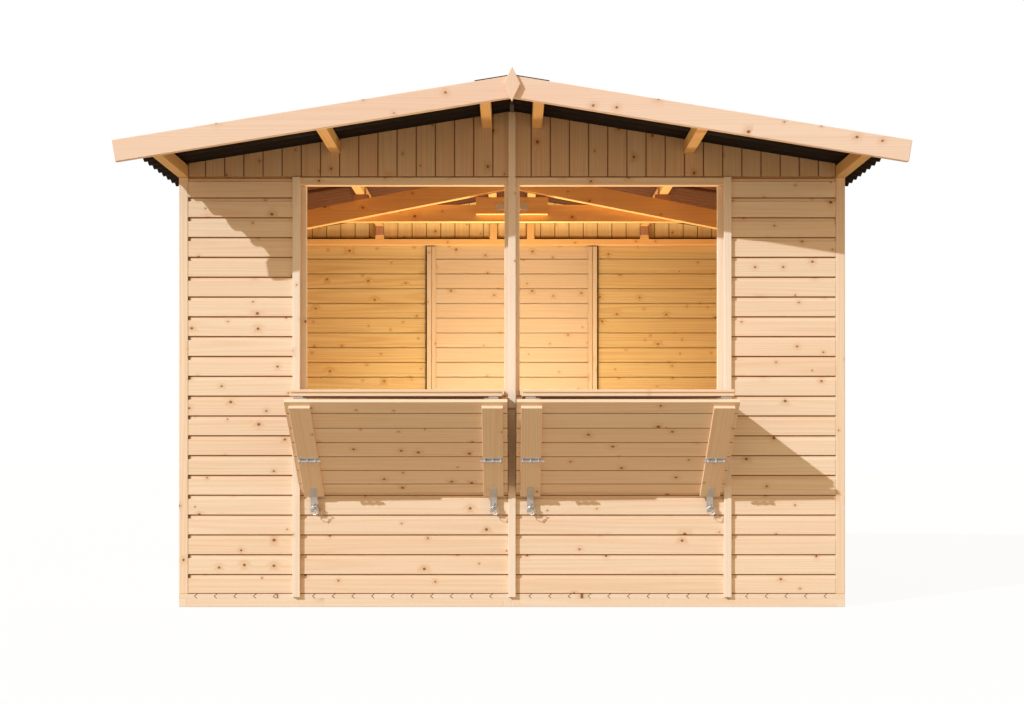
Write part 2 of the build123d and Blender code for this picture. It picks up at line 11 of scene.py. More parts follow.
import bpy
import numpy as np
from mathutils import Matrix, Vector


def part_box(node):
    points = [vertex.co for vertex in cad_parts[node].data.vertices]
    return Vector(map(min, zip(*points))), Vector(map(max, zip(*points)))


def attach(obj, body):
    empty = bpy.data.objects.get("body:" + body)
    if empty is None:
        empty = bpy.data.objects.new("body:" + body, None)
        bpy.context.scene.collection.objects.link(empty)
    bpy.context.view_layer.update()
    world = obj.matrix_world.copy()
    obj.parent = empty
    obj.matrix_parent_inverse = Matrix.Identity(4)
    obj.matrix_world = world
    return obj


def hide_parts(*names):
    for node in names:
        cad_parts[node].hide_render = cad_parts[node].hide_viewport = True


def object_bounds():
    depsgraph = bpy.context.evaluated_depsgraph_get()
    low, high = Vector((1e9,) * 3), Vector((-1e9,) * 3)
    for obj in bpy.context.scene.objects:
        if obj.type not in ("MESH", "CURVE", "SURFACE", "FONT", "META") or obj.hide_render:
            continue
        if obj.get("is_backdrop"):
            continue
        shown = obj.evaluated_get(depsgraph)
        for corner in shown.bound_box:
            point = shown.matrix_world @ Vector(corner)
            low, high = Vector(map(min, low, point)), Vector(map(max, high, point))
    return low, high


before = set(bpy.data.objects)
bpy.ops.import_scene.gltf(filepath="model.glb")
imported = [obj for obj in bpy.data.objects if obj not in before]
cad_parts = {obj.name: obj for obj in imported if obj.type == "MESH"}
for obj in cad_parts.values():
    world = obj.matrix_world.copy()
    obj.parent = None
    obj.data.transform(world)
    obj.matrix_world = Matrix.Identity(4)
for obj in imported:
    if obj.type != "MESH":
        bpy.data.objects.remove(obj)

LOG = logging.getLogger("stall")

Colour = tuple[float, float, float]
Point = tuple[float, float, float]
Span = tuple[float, float]
Thing = bpy.types.Object

RIGHT_WAY = Vector((1.0, 0.0, 0.0))
BACK_WAY = Vector((0.0, 1.0, 0.0))
UP_WAY = Vector((0.0, 0.0, 1.0))


class Slot(Enum):
    """Material slots of the record."""

    CLADDING = "cladding_wood"
    FRAME = "frame_wood"
    FLOOR = "floor_wood"
    SHEET = "bitumen_sheet"
    STEEL = "zinc_steel"


class Half(Enum):
    """A choice of two halves, with the sign of the coordinate in which they differ."""

    @property
    def word(self) -> str:
        """The half's name as the CAD nodes spell it."""
        return self.name.lower()

    def span(self, near: float, far: float) -> Span:
        """Lower and upper coordinate of a stretch whose ends are measured outwards from the middle."""
        return min(self.value * near, self.value * far), max(self.value * near, self.value * far)


class Side(Half):
    """Left and right half of the stall, with the sign that their X has."""

    LEFT = -1
    RIGHT = 1


class End(Half):
    """Front and back of the stall, with the sign that their Y has."""

    FRONT = -1
    BACK = 1


# Levels and planes of the stall, read from the frame.


@dataclass(frozen=True)
class Plan:
    """Main levels and distances of the stall in metres, and the sizes that several pieces share."""

    half_width: float
    half_depth: float
    post_inner_x: float
    post_inner_y: float
    board_depth: float
    beam_top: float
    floor_top: float
    apron_top: float
    wall_top: float
    panel_joint: float
    course: float
    roof_pitch: float
    ridge_underside: float
    courses: int = 21
    timber: float = 0.041
    purlin: float = 0.045

    @classmethod
    def from_frame(cls) -> "Plan":
        """Reads the levels from the boxes of the CAD nodes.

        Returns:
            The plan of the stall.
        """
        panel_low, panel_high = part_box("front_panel_right")
        boards_low, boards_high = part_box("floor_boards_right")
        gable_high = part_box("gable_front_right")[1]
        eaves_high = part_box("eaves_purlins")[1]
        wall_top = panel_high.z
        return cls(
            half_width=boards_high.x,
            half_depth=-panel_low.y,
            post_inner_x=panel_high.x,
            post_inner_y=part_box("side_wall_right")[1].y,
            board_depth=panel_high.y - panel_low.y,
            beam_top=boards_low.z,
            floor_top=boards_high.z,
            apron_top=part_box("front_apron_right")[1].z,
            wall_top=wall_top,
            panel_joint=panel_low.x,
            course=(wall_top - boards_high.z) / cls.courses,
            roof_pitch=math.atan2(gable_high.z - eaves_high.z, eaves_high.x),
            ridge_underside=gable_high.z,
        )

    def ridge_point(self) -> Vector:
        """Middle of the line in which the planes under the two slopes' sheets meet."""
        return UP_WAY * self.ridge_underside

    def roof_normal(self, side: Side) -> Vector:
        """Upward normal of one slope."""
        return Vector((side.value * math.sin(self.roof_pitch), 0.0, math.cos(self.roof_pitch)))

    def down_slope(self, side: Side) -> Vector:
        """Direction from the ridge down one slope."""
        return Vector((side.value * math.cos(self.roof_pitch), 0.0, -math.sin(self.roof_pitch)))


# Shader arithmetic.


class Signal:
    """A shader socket that takes part in Python arithmetic."""

    def __init__(self, graph: "Graph", socket: bpy.types.NodeSocket) -> None:
        """Wraps an output socket of one of the graph's nodes."""
        self.graph = graph
        self.socket = socket

    def __add__(self, other: "Signal | float") -> "Signal":
        """This plus the other value."""
        return self.graph.maths("ADD", self, other)

    def __radd__(self, other: float) -> "Signal":
        """A number plus this."""
        return self.graph.maths("ADD", other, self)

    def __sub__(self, other: "Signal | float") -> "Signal":
        """This less the other value."""
        return self.graph.maths("SUBTRACT", self, other)

    def __rsub__(self, other: float) -> "Signal":
        """A number less this."""
        return self.graph.maths("SUBTRACT", other, self)

    def __mul__(self, other: "Signal | float") -> "Signal":
        """This times the other value."""
        return self.graph.maths("MULTIPLY", self, other)

    def __rmul__(self, other: float) -> "Signal":
        """A number times this."""
        return self.graph.maths("MULTIPLY", other, self)

    def __truediv__(self, other: "Signal | float") -> "Signal":
        """This over the other value."""
        return self.graph.maths("DIVIDE", self, other)

    def __rtruediv__(self, other: float) -> "Signal":
        """A number over this."""
        return self.graph.maths("DIVIDE", other, self)

    def __pow__(self, other: "Signal | float") -> "Signal":
        """This to the power of the other value."""
        return self.graph.maths("POWER", self, other)

    def sine(self) -> "Signal":
        """Sine of the value in radians."""
        return self.graph.maths("SINE", self, 0.0)

    def root(self) -> "Signal":
        """Square root of the value."""
        return self.graph.maths("SQRT", self, 0.0)

    def exp(self) -> "Signal":
        """E to the power of the value."""
        return self.graph.maths("EXPONENT", self, 0.0)

    def over(self, edge: float) -> "Signal":
        """One where the value is above the edge, otherwise zero."""
        return self.graph.maths("GREATER_THAN", self, edge)

    def ramp(self, start: float, end: float) -> "Signal":
        """Smooth step between two values.

        Args:
            start: Value up to which the result is zero.
            end: Value from which the result is one.

        Returns:
            The step.
        """
        made = self.graph.node(
            "ShaderNodeMapRange",
            {"interpolation_type": "SMOOTHSTEP"},
            {"Value": self, "From Min": start, "From Max": end},
        )
        return self.graph.out(made, "Result")


Value = Signal | float
Paint = Signal | Colour


class Graph:
    """The nodes of one material, wired through Signals."""

    def __init__(self, name: str) -> None:
        """Makes an empty material.

        Args:
            name: Name of the material.
        """
        self.material = bpy.data.materials.new(name)
        self.material.use_nodes = True
        self.tree = self.material.node_tree
        self.tree.nodes.clear()

    def node(
        self,
        kind: str,
        settings: dict[str, str | bool] | None = None,
        sockets: dict[str | int, Value | Paint] | None = None,
    ) -> bpy.types.Node:
        """Adds one node.

        Args:
            kind: Type name of the node.
            settings: Properties of the node by name.
            sockets: Input values or Signals by socket name or index.

        Returns:
            The new node.
        """
        made = self.tree.nodes.new(kind)
        for name, value in (settings or {}).items():
            setattr(made, name, value)
        for name, value in (sockets or {}).items():
            self.plug(made.inputs[name], value)
        return made

    def plug(self, socket: bpy.types.NodeSocket, value: Value | Paint) -> None:
        """Wires a Signal into a socket, or sets the socket's own value.

        Args:
            socket: Input socket of a node.
            value: The Signal, number or colour for it.
        """
        if isinstance(value, Signal):
            self.tree.links.new(value.socket, socket)
        elif socket.type == "RGBA":
            socket.default_value = (*value, 1.0)
        else:
            socket.default_value = value

    def out(self, node: bpy.types.Node, name: str | int) -> Signal:
        """One output of a node as a Signal."""
        return Signal(self, node.outputs[name])

    def maths(self, operation: str, first: Value, second: Value) -> Signal:
        """Result of one arithmetic operation on two values."""
        made = self.node("ShaderNodeMath", {"operation": operation}, {0: first, 1: second})
        return self.out(made, 0)

    def blend(self, factor: Value, first: Paint, second: Paint, mode: str = "MIX") -> Signal:
        """Mixes two colours.

        Args:
            factor: Share of the second colour, from 0 to 1.
            first: The colour below.
            second: The colour on top.
            mode: How the two are mixed.

        Returns:
            The mixed colour.
        """
        made = self.node(
            "ShaderNodeMix",
            {"data_type": "RGBA", "blend_type": mode, "clamp_factor": True},
            {0: factor, 6: first, 7: second},
        )
        return self.out(made, 2)

    def vector(self, x: Value, y: Value, z: Value) -> Signal:
        """Vector made from three values."""
        return self.out(self.node("ShaderNodeCombineXYZ", None, {0: x, 1: y, 2: z}), 0)

    def split(self, vector: Signal) -> tuple[Signal, Signal, Signal]:
        """The three values of a vector."""
        made = self.node("ShaderNodeSeparateXYZ", None, {0: vector})
        return self.out(made, 0), self.out(made, 1), self.out(made, 2)

    def attribute(self, name: str, output: str) -> Signal:
        """A stored attribute of the mesh."""
        return self.out(self.node("ShaderNodeAttribute", {"attribute_name": name}), output)

    def place(self) -> Signal:
        """Place of the surface in the object's own space."""
        return self.out(self.node("ShaderNodeTexCoord"), "Object")

    def noise(self, vector: Signal, scale: float, detail: float = 2.0, rough: float = 0.5) -> Signal:
        """Cloudy noise.

        Args:
            vector: Place at which the noise is read.
            scale: How many clouds lie in one unit of the place.
            detail: How many finer layers lie on the first.
            rough: How strong the finer layers are.

        Returns:
            The noise, mostly between 0.25 and 0.75.
        """
        made = self.node(
            "ShaderNodeTexNoise",
            {"noise_dimensions": "3D"},
            {"Vector": vector, "Scale": scale, "Detail": detail, "Roughness": rough},
        )
        return self.out(made, 0)

    def bump(self, height: Signal, strength: float, distance: float) -> Signal:
        """Normal disturbed by a height."""
        sockets = {"Height": height, "Strength": strength, "Distance": distance}
        return self.out(self.node("ShaderNodeBump", None, sockets), 0)

    def finish(self, **inputs: Value | Paint) -> bpy.types.Material:
        """Ends the material with one Principled shader.

        Args:
            inputs: Values or Signals by socket name, with spaces written as underscores.

        Returns:
            The finished material.
        """
        sockets = {name.replace("_", " "): value for name, value in inputs.items()}
        return self.end(self.node("ShaderNodeBsdfPrincipled", None, sockets))

    def end(self, shader: bpy.types.Node) -> bpy.types.Material:
        """Sends a shader to the material's output.

        Args:
            shader: The material's last shader node.

        Returns:
            The finished material.
        """
        target = self.node("ShaderNodeOutputMaterial")
        self.tree.links.new(shader.outputs[0], target.inputs["Surface"])
        return self.material


class Knots(NamedTuple):
    """Where knots lie in the wood, how far they darken it around them, and their colour."""

    mask: Signal
    halo: Signal
    colour: Signal


@dataclass(frozen=True)
class PineFinish:
    """Planed softwood with growth rings, streaks and knots that follow each board's own grain."""

    name: str
    slot: Slot
    pale: Colour
    late: Colour
    pink: Colour
    knot: Colour = (0.16, 0.060, 0.024)
    knot_core: Colour = (0.36, 0.17, 0.07)
    halo: Colour = (0.80, 0.58, 0.38)
    dusk: Colour = (0.90, 0.82, 0.70)
    # Colour multiplied into the faces marked inside the board joints: painted shade in the gaps between
    # boards.
    joint: Colour = (0.43, 0.29, 0.17)
    ring_spacing: float = 0.0075
    ring_share: float = 0.26
    streak_share: float = 0.34
    drift_share: float = 0.6
    dusk_share: float = 0.30
    halo_share: float = 0.55
    knot_cover: float = 0.88
    knot_scale: float = 7.5
    knot_share: float = 0.62
    knot_radius: float = 0.0028
    knot_growth: float = 0.0044
    gloss: float = 0.22
    relief: float = 0.0006

    @staticmethod
    def fibres(graph: Graph, grain: tuple[Signal, Signal, Signal], along: float, across: float) -> Signal:
        """Place in the wood, scaled by one factor along the fibres and by another across them."""
        return graph.vector(grain[0] * along, grain[1] * across, grain[2] * across)

    def build(self) -> bpy.types.Material:
        """Makes the material.

        Returns:
            The finished material.
        """
        graph = Graph(self.name)
        grain = graph.split(graph.attribute("grain", "Vector"))
        tone = graph.attribute("tone", "Fac")
        knots = self.knots(graph, grain[0], grain[1])
        rings = self.rings(graph, grain, knots.halo)
        streaks = graph.noise(self.fibres(graph, grain, 1.6, 170.0), 1.0, 3.0, 0.6)
        drift = graph.noise(self.fibres(graph, grain, 0.9, 9.0), 1.0, 1.0)
        colour = graph.blend(rings * self.ring_share, self.pale, self.late)
        colour = graph.blend(streaks.ramp(0.42, 0.78) * self.streak_share, colour, self.late)
        colour = graph.blend(drift.ramp(0.35, 0.7) * self.drift_share, colour, self.pink, "MULTIPLY")
        colour = graph.blend(tone.ramp(-1.0, 1.0) * self.dusk_share, colour, self.dusk, "MULTIPLY")
        colour = graph.blend(knots.halo * self.halo_share, colour, self.halo, "MULTIPLY")
        colour = graph.blend(knots.mask, colour, knots.colour)
        # Painted shade: faces marked inside the board joints are darkened by the joint colour.
        colour = graph.blend(graph.attribute("joint", "Fac"), colour, self.joint, "MULTIPLY")
        pores = graph.noise(self.fibres(graph, grain, 9.0, 900.0), 1.0, 2.0)
        height = pores * 0.5 + rings * 0.25 + streaks * 0.3
        return graph.finish(
            Base_Color=colour,
            Roughness=streaks.ramp(0.2, 0.9) * 0.16 + 0.56,
            Specular_IOR_Level=self.gloss,
            Normal=graph.bump(height, 0.22, self.relief),
        )

    def rings(self, graph: Graph, grain: tuple[Signal, Signal, Signal], halo: Signal) -> Signal:
        """Growth rings around the pith, bent by chance and by the knots.

        Args:
            graph: The material's nodes.
            grain: Place along, across and into the wood.
            halo: Surroundings of the knots.

        Returns:
            One in the late wood, zero in the early wood.
        """
        wobble = graph.noise(self.fibres(graph, grain, 0.8, 6.0), 1.0, 1.5) - 0.5
        ripple = graph.noise(self.fibres(graph, grain, 2.5, 40.0), 1.0, 2.0) - 0.5
        radius = (grain[1] * grain[1] + grain[2] * grain[2]).root()
        swell = radius + wobble * 0.022 + ripple * 0.0016 + halo * 0.009
        return ((swell * (2.0 * math.pi / self.ring_spacing)).sine() * 0.5 + 0.5) ** 1.7

    def knots(self, graph: Graph, along: Signal, across: Signal) -> Knots:
        """Places the knots.

        Args:
            graph: The material's nodes.
            along: Place along the grain.
            across: Place across the grain.

        Returns:
            The knots' mask, the halo around them and their colour.
        """
        jitter = graph.noise(graph.vector(along, across, 0.0), 120.0, 1.0) - 0.5
        place = graph.vector(along * (self.knot_scale * 0.86), across * self.knot_scale, 0.0)
        cells = graph.node(
            "ShaderNodeTexVoronoi",
            {"voronoi_dimensions": "2D", "feature": "F1"},
            {"Vector": place, "Scale": 1.0},
        )
        chance, size_draw, shade = graph.split(graph.out(cells, "Color"))
        present = chance.over(1.0 - self.knot_share)
        radius = size_draw * size_draw * self.knot_growth + self.knot_radius
        reach = (graph.out(cells, "Distance") / self.knot_scale + jitter * 0.0026) / radius
        mask = (1.0 - reach.ramp(0.6, 1.25)) * present
        halo = (reach * reach * -0.10).exp() * present
        core = (1.0 - reach.ramp(0.1, 0.8)) * shade
        return Knots(mask * self.knot_cover, halo, graph.blend(core * 0.7, self.knot, self.knot_core))


@dataclass(frozen=True)
class BitumenFinish:
    """Dull fibre sheet soaked in bitumen, brown on its underside within the walls; under the overhangs the
    underside keeps the dark top colour as painted shade.
    """

    name: str = "bitumen"
    slot: Slot = Slot.SHEET
    base: Colour = (0.016, 0.010, 0.0075)
    worn: Colour = (0.036, 0.021, 0.014)
    sheltered: Colour = (0.12, 0.048, 0.021)
    wall: float = 1.46
    gloss: float = 0.25
    relief: float = 0.0012

    def build(self) -> bpy.types.Material:
        """Makes the material.

        Returns:
            The finished material.
        """
        graph = Graph(self.name)
        place = graph.place()
        fibre = graph.noise(place, 420.0, 3.0, 0.7)
        cloud = graph.noise(place, 9.0, 3.0)
        wear = fibre.ramp(0.45, 0.75) * 0.6 + cloud.ramp(0.5, 0.8) * 0.3
        colour = graph.blend(wear, self.base, self.worn)
        across = graph.split(place)[0]
        # Painted shade: only the underside within the walls turns brown, the underside under the overhangs
        # stays dark.
        under_eaves = (across * across).root().ramp(self.wall - 0.02, self.wall)
        indoors = graph.attribute("indoors", "Fac") * (1.0 - under_eaves)
        return graph.finish(
            Base_Color=graph.blend(indoors, colour, self.sheltered),
            Roughness=cloud.ramp(0.3, 0.8) * 0.12 + 0.78,
            Specular_IOR_Level=self.gloss,
            Normal=graph.bump(fibre, 0.5, self.relief),
        )


@dataclass(frozen=True)
class ZincFinish:
    """Zinc-plated steel with faint crystals."""

    name: str = "zinc"
    slot: Slot = Slot.STEEL
    base: Colour = (0.58, 0.56, 0.54)
    bright: Colour = (0.76, 0.74, 0.72)
    metal: float = 0.70
    relief: float = 0.0003

    def build(self) -> bpy.types.Material:
        """Makes the material.

        Returns:
            The finished material.
        """
        graph = Graph(self.name)
        place = graph.place()
        cells = graph.node("ShaderNodeTexVoronoi", None, {"Vector": place, "Scale": 260.0})
        crystal = graph.split(graph.out(cells, "Color"))[0]
        scuff = graph.noise(place, 900.0, 2.0)
        return graph.finish(
            Base_Color=graph.blend(crystal * 0.5 + scuff.ramp(0.5, 0.8) * 0.3, self.base, self.bright),
            Metallic=self.metal,
            Roughness=crystal * 0.10 + 0.36,
            Normal=graph.bump(scuff, 0.12, self.relief),
        )


Finish = PineFinish | BitumenFinish | ZincFinish


class FinishShelf:
    """The finishes of the stall, each built once."""

    CLADDING = PineFinish(
        "pine_cladding", Slot.CLADDING, (0.94, 0.72, 0.50), (0.80, 0.50, 0.27), (1.0, 0.93, 0.90)
    )
    # Darker, more orange copy of the wall pine for the back wall: painted shade inside the stall.
    INNER = PineFinish(
        "pine_inner",
        Slot.CLADDING,
        (0.59, 0.46, 0.235),
        (0.41, 0.225, 0.074),
        (1.0, 0.92, 0.84),
        knot_share=0.85,
        ring_share=0.34,
        streak_share=0.44,
    )
    # Darker copy of the wall pine for the door: painted shade inside the stall, paler than the back wall
    # boards.
    DOOR = PineFinish(
        "pine_door", Slot.CLADDING, (0.58, 0.46, 0.34), (0.46, 0.33, 0.195), (1.0, 0.95, 0.90)
    )
    # Darker copy of the wall pine for the front gable: painted shade under the roof's overhang.
    GABLE = PineFinish(
        "pine_gable",
        Slot.CLADDING,
        (0.72, 0.49, 0.295),
        (0.55, 0.32, 0.155),
        (1.0, 0.92, 0.88),
        knot_share=0.8,
    )
    # Brighter, yellower copy of the wall pine for the back gable: painted light on its inside.
    ATTIC = PineFinish(
        "pine_attic", Slot.CLADDING, (1.0, 0.79, 0.40), (0.82, 0.52, 0.19), (1.0, 0.93, 0.86), knot_share=0.8
    )
    DARK = PineFinish(
        "pine_dark", Slot.FRAME, (0.42, 0.23, 0.15), (0.32, 0.15, 0.09), (1.0, 0.93, 0.90), knot_share=0.0
    )
    TRIM = PineFinish(
        "pine_trim", Slot.CLADDING, (0.96, 0.80, 0.62), (0.86, 0.62, 0.42), (1.0, 0.95, 0.92), knot_share=0.3
    )
    FRAME = PineFinish(
        "pine_frame", Slot.FRAME, (0.84, 0.54, 0.23), (0.68, 0.35, 0.115), (1.0, 0.92, 0.86)
    )
    EDGE = PineFinish(
        "pine_barge", Slot.CLADDING, (0.90, 0.67, 0.50), (0.78, 0.49, 0.32), (1.0, 0.92, 0.91), knot_share=0.6
    )
    FLOOR = PineFinish(
        "pine_floor", Slot.FLOOR, (0.94, 0.75, 0.55), (0.84, 0.58, 0.36), (1.0, 0.94, 0.91), knot_share=0.15
    )
    SHEET = BitumenFinish()
    # Dark fill put into gaps and joints where there is only shade: painted shade.
    SEAL = BitumenFinish("draught_strip", Slot.SHEET, (0.075, 0.035, 0.014), (0.090, 0.042, 0.018))
    CAP = BitumenFinish("ridge_felt", Slot.SHEET, (0.030, 0.015, 0.011), (0.055, 0.028, 0.018))
    STEEL = ZincFinish()

    def __init__(self) -> None:
        """Starts with no finish built."""
        self.built: dict[str, bpy.types.Material] = {}

    def material(self, finish: Finish) -> bpy.types.Material:
        """Builds a finish's material when it is first asked for.

        Args:
            finish: The finish.

        Returns:
            Its material.
        """
        if finish.name not in self.built:
            self.built[finish.name] = finish.build()
        return self.built[finish.name]


SHELF = FinishShelf()


# Bench work on meshes.


class Bench:
    """Tools that shape meshes step by step, as by hand."""

    SHARP_ANGLE = math.radians(35.0)
    FLAT_ANGLE = math.radians(0.5)
    MERGE_REACH = 0.00002
    WELD_REACH = 0.0001

    @staticmethod
    def deselect() -> None:
        """Leaves nothing selected."""
        for other in bpy.context.selected_objects:
            other.select_set(False)

    @staticmethod
    def pick(*objects: Thing) -> None:
        """Selects only some objects, the first of them active.

        Args:
            objects: The objects.
        """
        Bench.deselect()
        for thing in objects:
            thing.select_set(True)
        bpy.context.view_layer.objects.active = objects[0]

    @staticmethod
    def open(thing: Thing) -> None:
        """Enters edit mode with the whole mesh selected.

        Args:
            thing: The object.
        """
        Bench.pick(thing)
        bpy.ops.object.mode_set(mode="EDIT")
        bpy.ops.mesh.select_all(action="SELECT")

    @staticmethod
    def close() -> None:
        """Turns all faces outwards and leaves edit mode."""
        bpy.ops.mesh.select_all(action="SELECT")
        bpy.ops.mesh.normals_make_consistent(inside=False)
        bpy.ops.object.mode_set(mode="OBJECT")

    @staticmethod
    def turn_outwards(thing: Thing) -> None:
        """Turns all faces of an object outwards."""
        Bench.open(thing)
        Bench.close()

    @staticmethod
    def settle(thing: Thing) -> Thing:
        """Brings place, turn and scale into the mesh.

        Args:
            thing: The object.

        Returns:
            The object.
        """
        Bench.pick(thing)
        bpy.ops.object.transform_apply(location=True, rotation=True, scale=True)
        return thing

    @staticmethod
    def pen(points: Sequence[Vector]) -> None:
        """Draws a line of vertices and stays in edit mode.

        Args:
            points: Where the vertices lie, in order.
        """
        Bench.deselect()
        bpy.ops.mesh.primitive_plane_add(size=0.01, location=tuple(points[0]))
        bpy.ops.object.mode_set(mode="EDIT")
        bpy.ops.mesh.merge(type="CENTER")
        for start, end in zip(points, points[1:]):
            step = tuple(Vector(end) - Vector(start))
            bpy.ops.mesh.extrude_vertices_move(TRANSFORM_OT_translate={"value": step})

    @staticmethod
    def prism(outline: Sequence[Vector], pull: Vector) -> Thing:
        """Solid drawn as an outline and pulled along a vector.

        Args:
            outline: Corners of the flat outline, in order.
            pull: Vector from the outline to its other end.

        Returns:
            The new solid.
        """
        Bench.pen(outline)
        bpy.ops.mesh.select_all(action="SELECT")
        bpy.ops.mesh.edge_face_add()
        bpy.ops.mesh.extrude_region_move(TRANSFORM_OT_translate={"value": tuple(pull)})
        Bench.close()
        return Bench.settle(bpy.context.active_object)

    @staticmethod
    def ribbon(line: Sequence[Vector], pull: Vector) -> Thing:
        """Open surface drawn as a line and pulled along a vector.

        Args:
            line: Points of the line, in order.
            pull: Vector from the line to its other end.

        Returns:
            The new surface.
        """
        Bench.pen(line)
        bpy.ops.mesh.select_all(action="SELECT")
        bpy.ops.mesh.extrude_region_move(TRANSFORM_OT_translate={"value": tuple(pull)})
        bpy.ops.object.mode_set(mode="OBJECT")
        return Bench.settle(bpy.context.active_object)

    @staticmethod
    def block(x: Span, y: Span, z: Span, bevel: float = 0.0012) -> Thing:
        """Box with slightly eased edges.

        Args:
            x: Lower and upper X.
            y: Lower and upper Y.
            z: Lower and upper Z.
            bevel: Width of the eased edges.

        Returns:
            The new box.
        """
        low, high = (Vector(corner) for corner in zip(x, y, z))
        Bench.deselect()
        bpy.ops.mesh.primitive_cube_add(size=1.0, location=(low + high) / 2, scale=high - low)
        made = bpy.context.active_object
        bpy.ops.object.transform_apply(location=True, rotation=True, scale=True)
        if bevel:
            Bench.open(made)
            bpy.ops.mesh.bevel(offset=bevel, segments=1, affect="EDGES")
            Bench.close()
        return made

    @staticmethod
    def rod(start: Vector, end: Vector, radius: float, sides: int = 20, bevel: float = 0.0) -> Thing:
        """Round rod between two points.

        Args:
            start: Middle of one end.
            end: Middle of the other end.
            radius: Radius of the rod.
            sides: How many flats stand for the round.
            bevel: Width of the eased rims.

        Returns:
            The new rod.
        """
        start, end = Vector(start), Vector(end)
        Bench.deselect()
        bpy.ops.mesh.primitive_cylinder_add(
            vertices=sides,
            radius=radius,
            depth=(end - start).length,
            location=(start + end) / 2,
            rotation=(end - start).to_track_quat("Z", "Y").to_euler(),
        )
        made = Bench.settle(bpy.context.active_object)
        return Bench.ease(made, bevel) if bevel else made

    @staticmethod
    def ring(middle: Vector, axis: Vector, radius: float, wire: float) -> Thing:
        """Wire ring around an axis.

        Args:
            middle: Middle of the ring.
            axis: Direction of the axis.
            radius: Radius of the ring.
            wire: Radius of its wire.

        Returns:
            The new ring.
        """
        Bench.deselect()
        bpy.ops.mesh.primitive_torus_add(
            location=middle,
            rotation=Vector(axis).to_track_quat("Z", "Y").to_euler(),
            major_radius=radius,
            minor_radius=wire,
            major_segments=28,
            minor_segments=8,
        )
        return Bench.settle(bpy.context.active_object)

    @staticmethod
    def dome(middle: Vector, radius: float, flat: float) -> Thing:
        """Flattened ball.

        Args:
            middle: Middle of the ball.
            radius: Radius of the ball.
            flat: Factor that its height keeps.

        Returns:
            The new ball.
        """
        Bench.deselect()
        bpy.ops.mesh.primitive_uv_sphere_add(segments=12, ring_count=6, radius=radius, location=middle)
        made = bpy.context.active_object
        made.scale = (1.0, 1.0, flat)
        return Bench.settle(made)

    @staticmethod
    def apply(thing: Thing, kind: str, **settings: object) -> Thing:
        """Adds one modifier and applies it.

        Args:
            thing: The object.
            kind: Type name of the modifier.
            settings: Its settings by name.

        Returns:
            The object.
        """
        added = thing.modifiers.new(kind.lower(), kind)
        for name, value in settings.items():
            setattr(added, name, value)
        Bench.pick(thing)
        bpy.ops.object.modifier_apply(modifier=added.name)
        return thing

    @staticmethod
    def ease(thing: Thing, width: float, segments: int = 1) -> Thing:
        """Bevels the sharp edges.

        Args:
            thing: The object.
            width: Width of the bevels.
            segments: How many flats a bevel has.

        Returns:
            The object.
        """
        edges = {"limit_method": "ANGLE", "angle_limit": Bench.SHARP_ANGLE}
        return Bench.apply(thing, "BEVEL", width=width, segments=segments, **edges)

    @staticmethod
    def repeat(thing: Thing, count: int, step: Vector, weld: bool = False) -> Thing:
        """Repeats a solid at equal steps.

        Args:
            thing: The solid.
            count: How many there are in the end.
            step: Vector from one to the next.
            weld: Whether neighbours grow together where they touch.

        Returns:
            The object.
        """
        return Bench.apply(
            thing,
            "ARRAY",
            count=count,
            use_relative_offset=False,
            use_constant_offset=True,
            constant_offset_displace=step,
            use_merge_vertices=weld,
            merge_threshold=Bench.WELD_REACH,
        )

    @staticmethod
    def cut(thing: Thing, point: Vector, away: Vector) -> Thing:
        """Cuts off what lies beyond a plane and closes the cut.

        Args:
            thing: The object.
            point: A point of the plane.
            away: Normal of the plane, towards what is cut off.

        Returns:
            The object.
        """
        Bench.open(thing)
        bpy.ops.mesh.bisect(plane_co=point, plane_no=away, use_fill=True, clear_outer=True)
        Bench.close()
        return thing

    @staticmethod
    def carve(thing: Thing, tool: Thing) -> Thing:
        """Takes the volume of a tool away and removes the tool.

        Args:
            thing: The object.
            tool: The tool.

        Returns:
            The object.
        """
        Bench.apply(thing, "BOOLEAN", operation="DIFFERENCE", object=tool, solver="EXACT")
        bpy.data.objects.remove(tool, do_unlink=True)
        return thing

    @staticmethod
    def twin(thing: Thing) -> Thing:
        """Mirrors an object to the other side of the stall's middle.

        Args:
            thing: The object.

        Returns:
            The mirror image, with its own mesh.
        """
        Bench.pick(thing)
        bpy.ops.object.duplicate(linked=False)
        made = bpy.context.active_object
        made.scale = (-1.0, 1.0, 1.0)
        Bench.turn_outwards(Bench.settle(made))
        return made

    @staticmethod
    def join(parts: Sequence[Thing]) -> Thing:
        """Joins parts into one object.

        Args:
            parts: The parts.

        Returns:
            The first part, which now holds them all.
        """
        Bench.pick(*parts)
        if len(parts) > 1:
            bpy.ops.object.join()
        return parts[0]

    @staticmethod
    def from_cad(node: str) -> Thing:
        """Copies a CAD node's mesh and cleans the copy.

        Args:
            node: Name of the CAD node.

        Returns:
            The copy.
        """
        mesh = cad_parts[node].data.copy()
        mesh.materials.clear()
        made = bpy.data.objects.new(f"{node}_copy", mesh)
        bpy.context.scene.collection.objects.link(made)
        Bench.open(made)
        bpy.ops.mesh.customdata_custom_splitnormals_clear()
        bpy.ops.mesh.remove_doubles(threshold=Bench.MERGE_REACH)
        bpy.ops.mesh.dissolve_limited(angle_limit=Bench.FLAT_ANGLE)
        Bench.close()
        for face in mesh.polygons:
            face.use_smooth = False
        return made

    @staticmethod
    def loose(thing: Thing) -> list[Thing]:
        """Separates an object into its loose parts.

        Args:
            thing: The object.

        Returns:
            The parts.
        """
        Bench.open(thing)
        bpy.ops.mesh.separate(type="LOOSE")
        bpy.ops.object.mode_set(mode="OBJECT")
        return list(bpy.context.selected_objects)

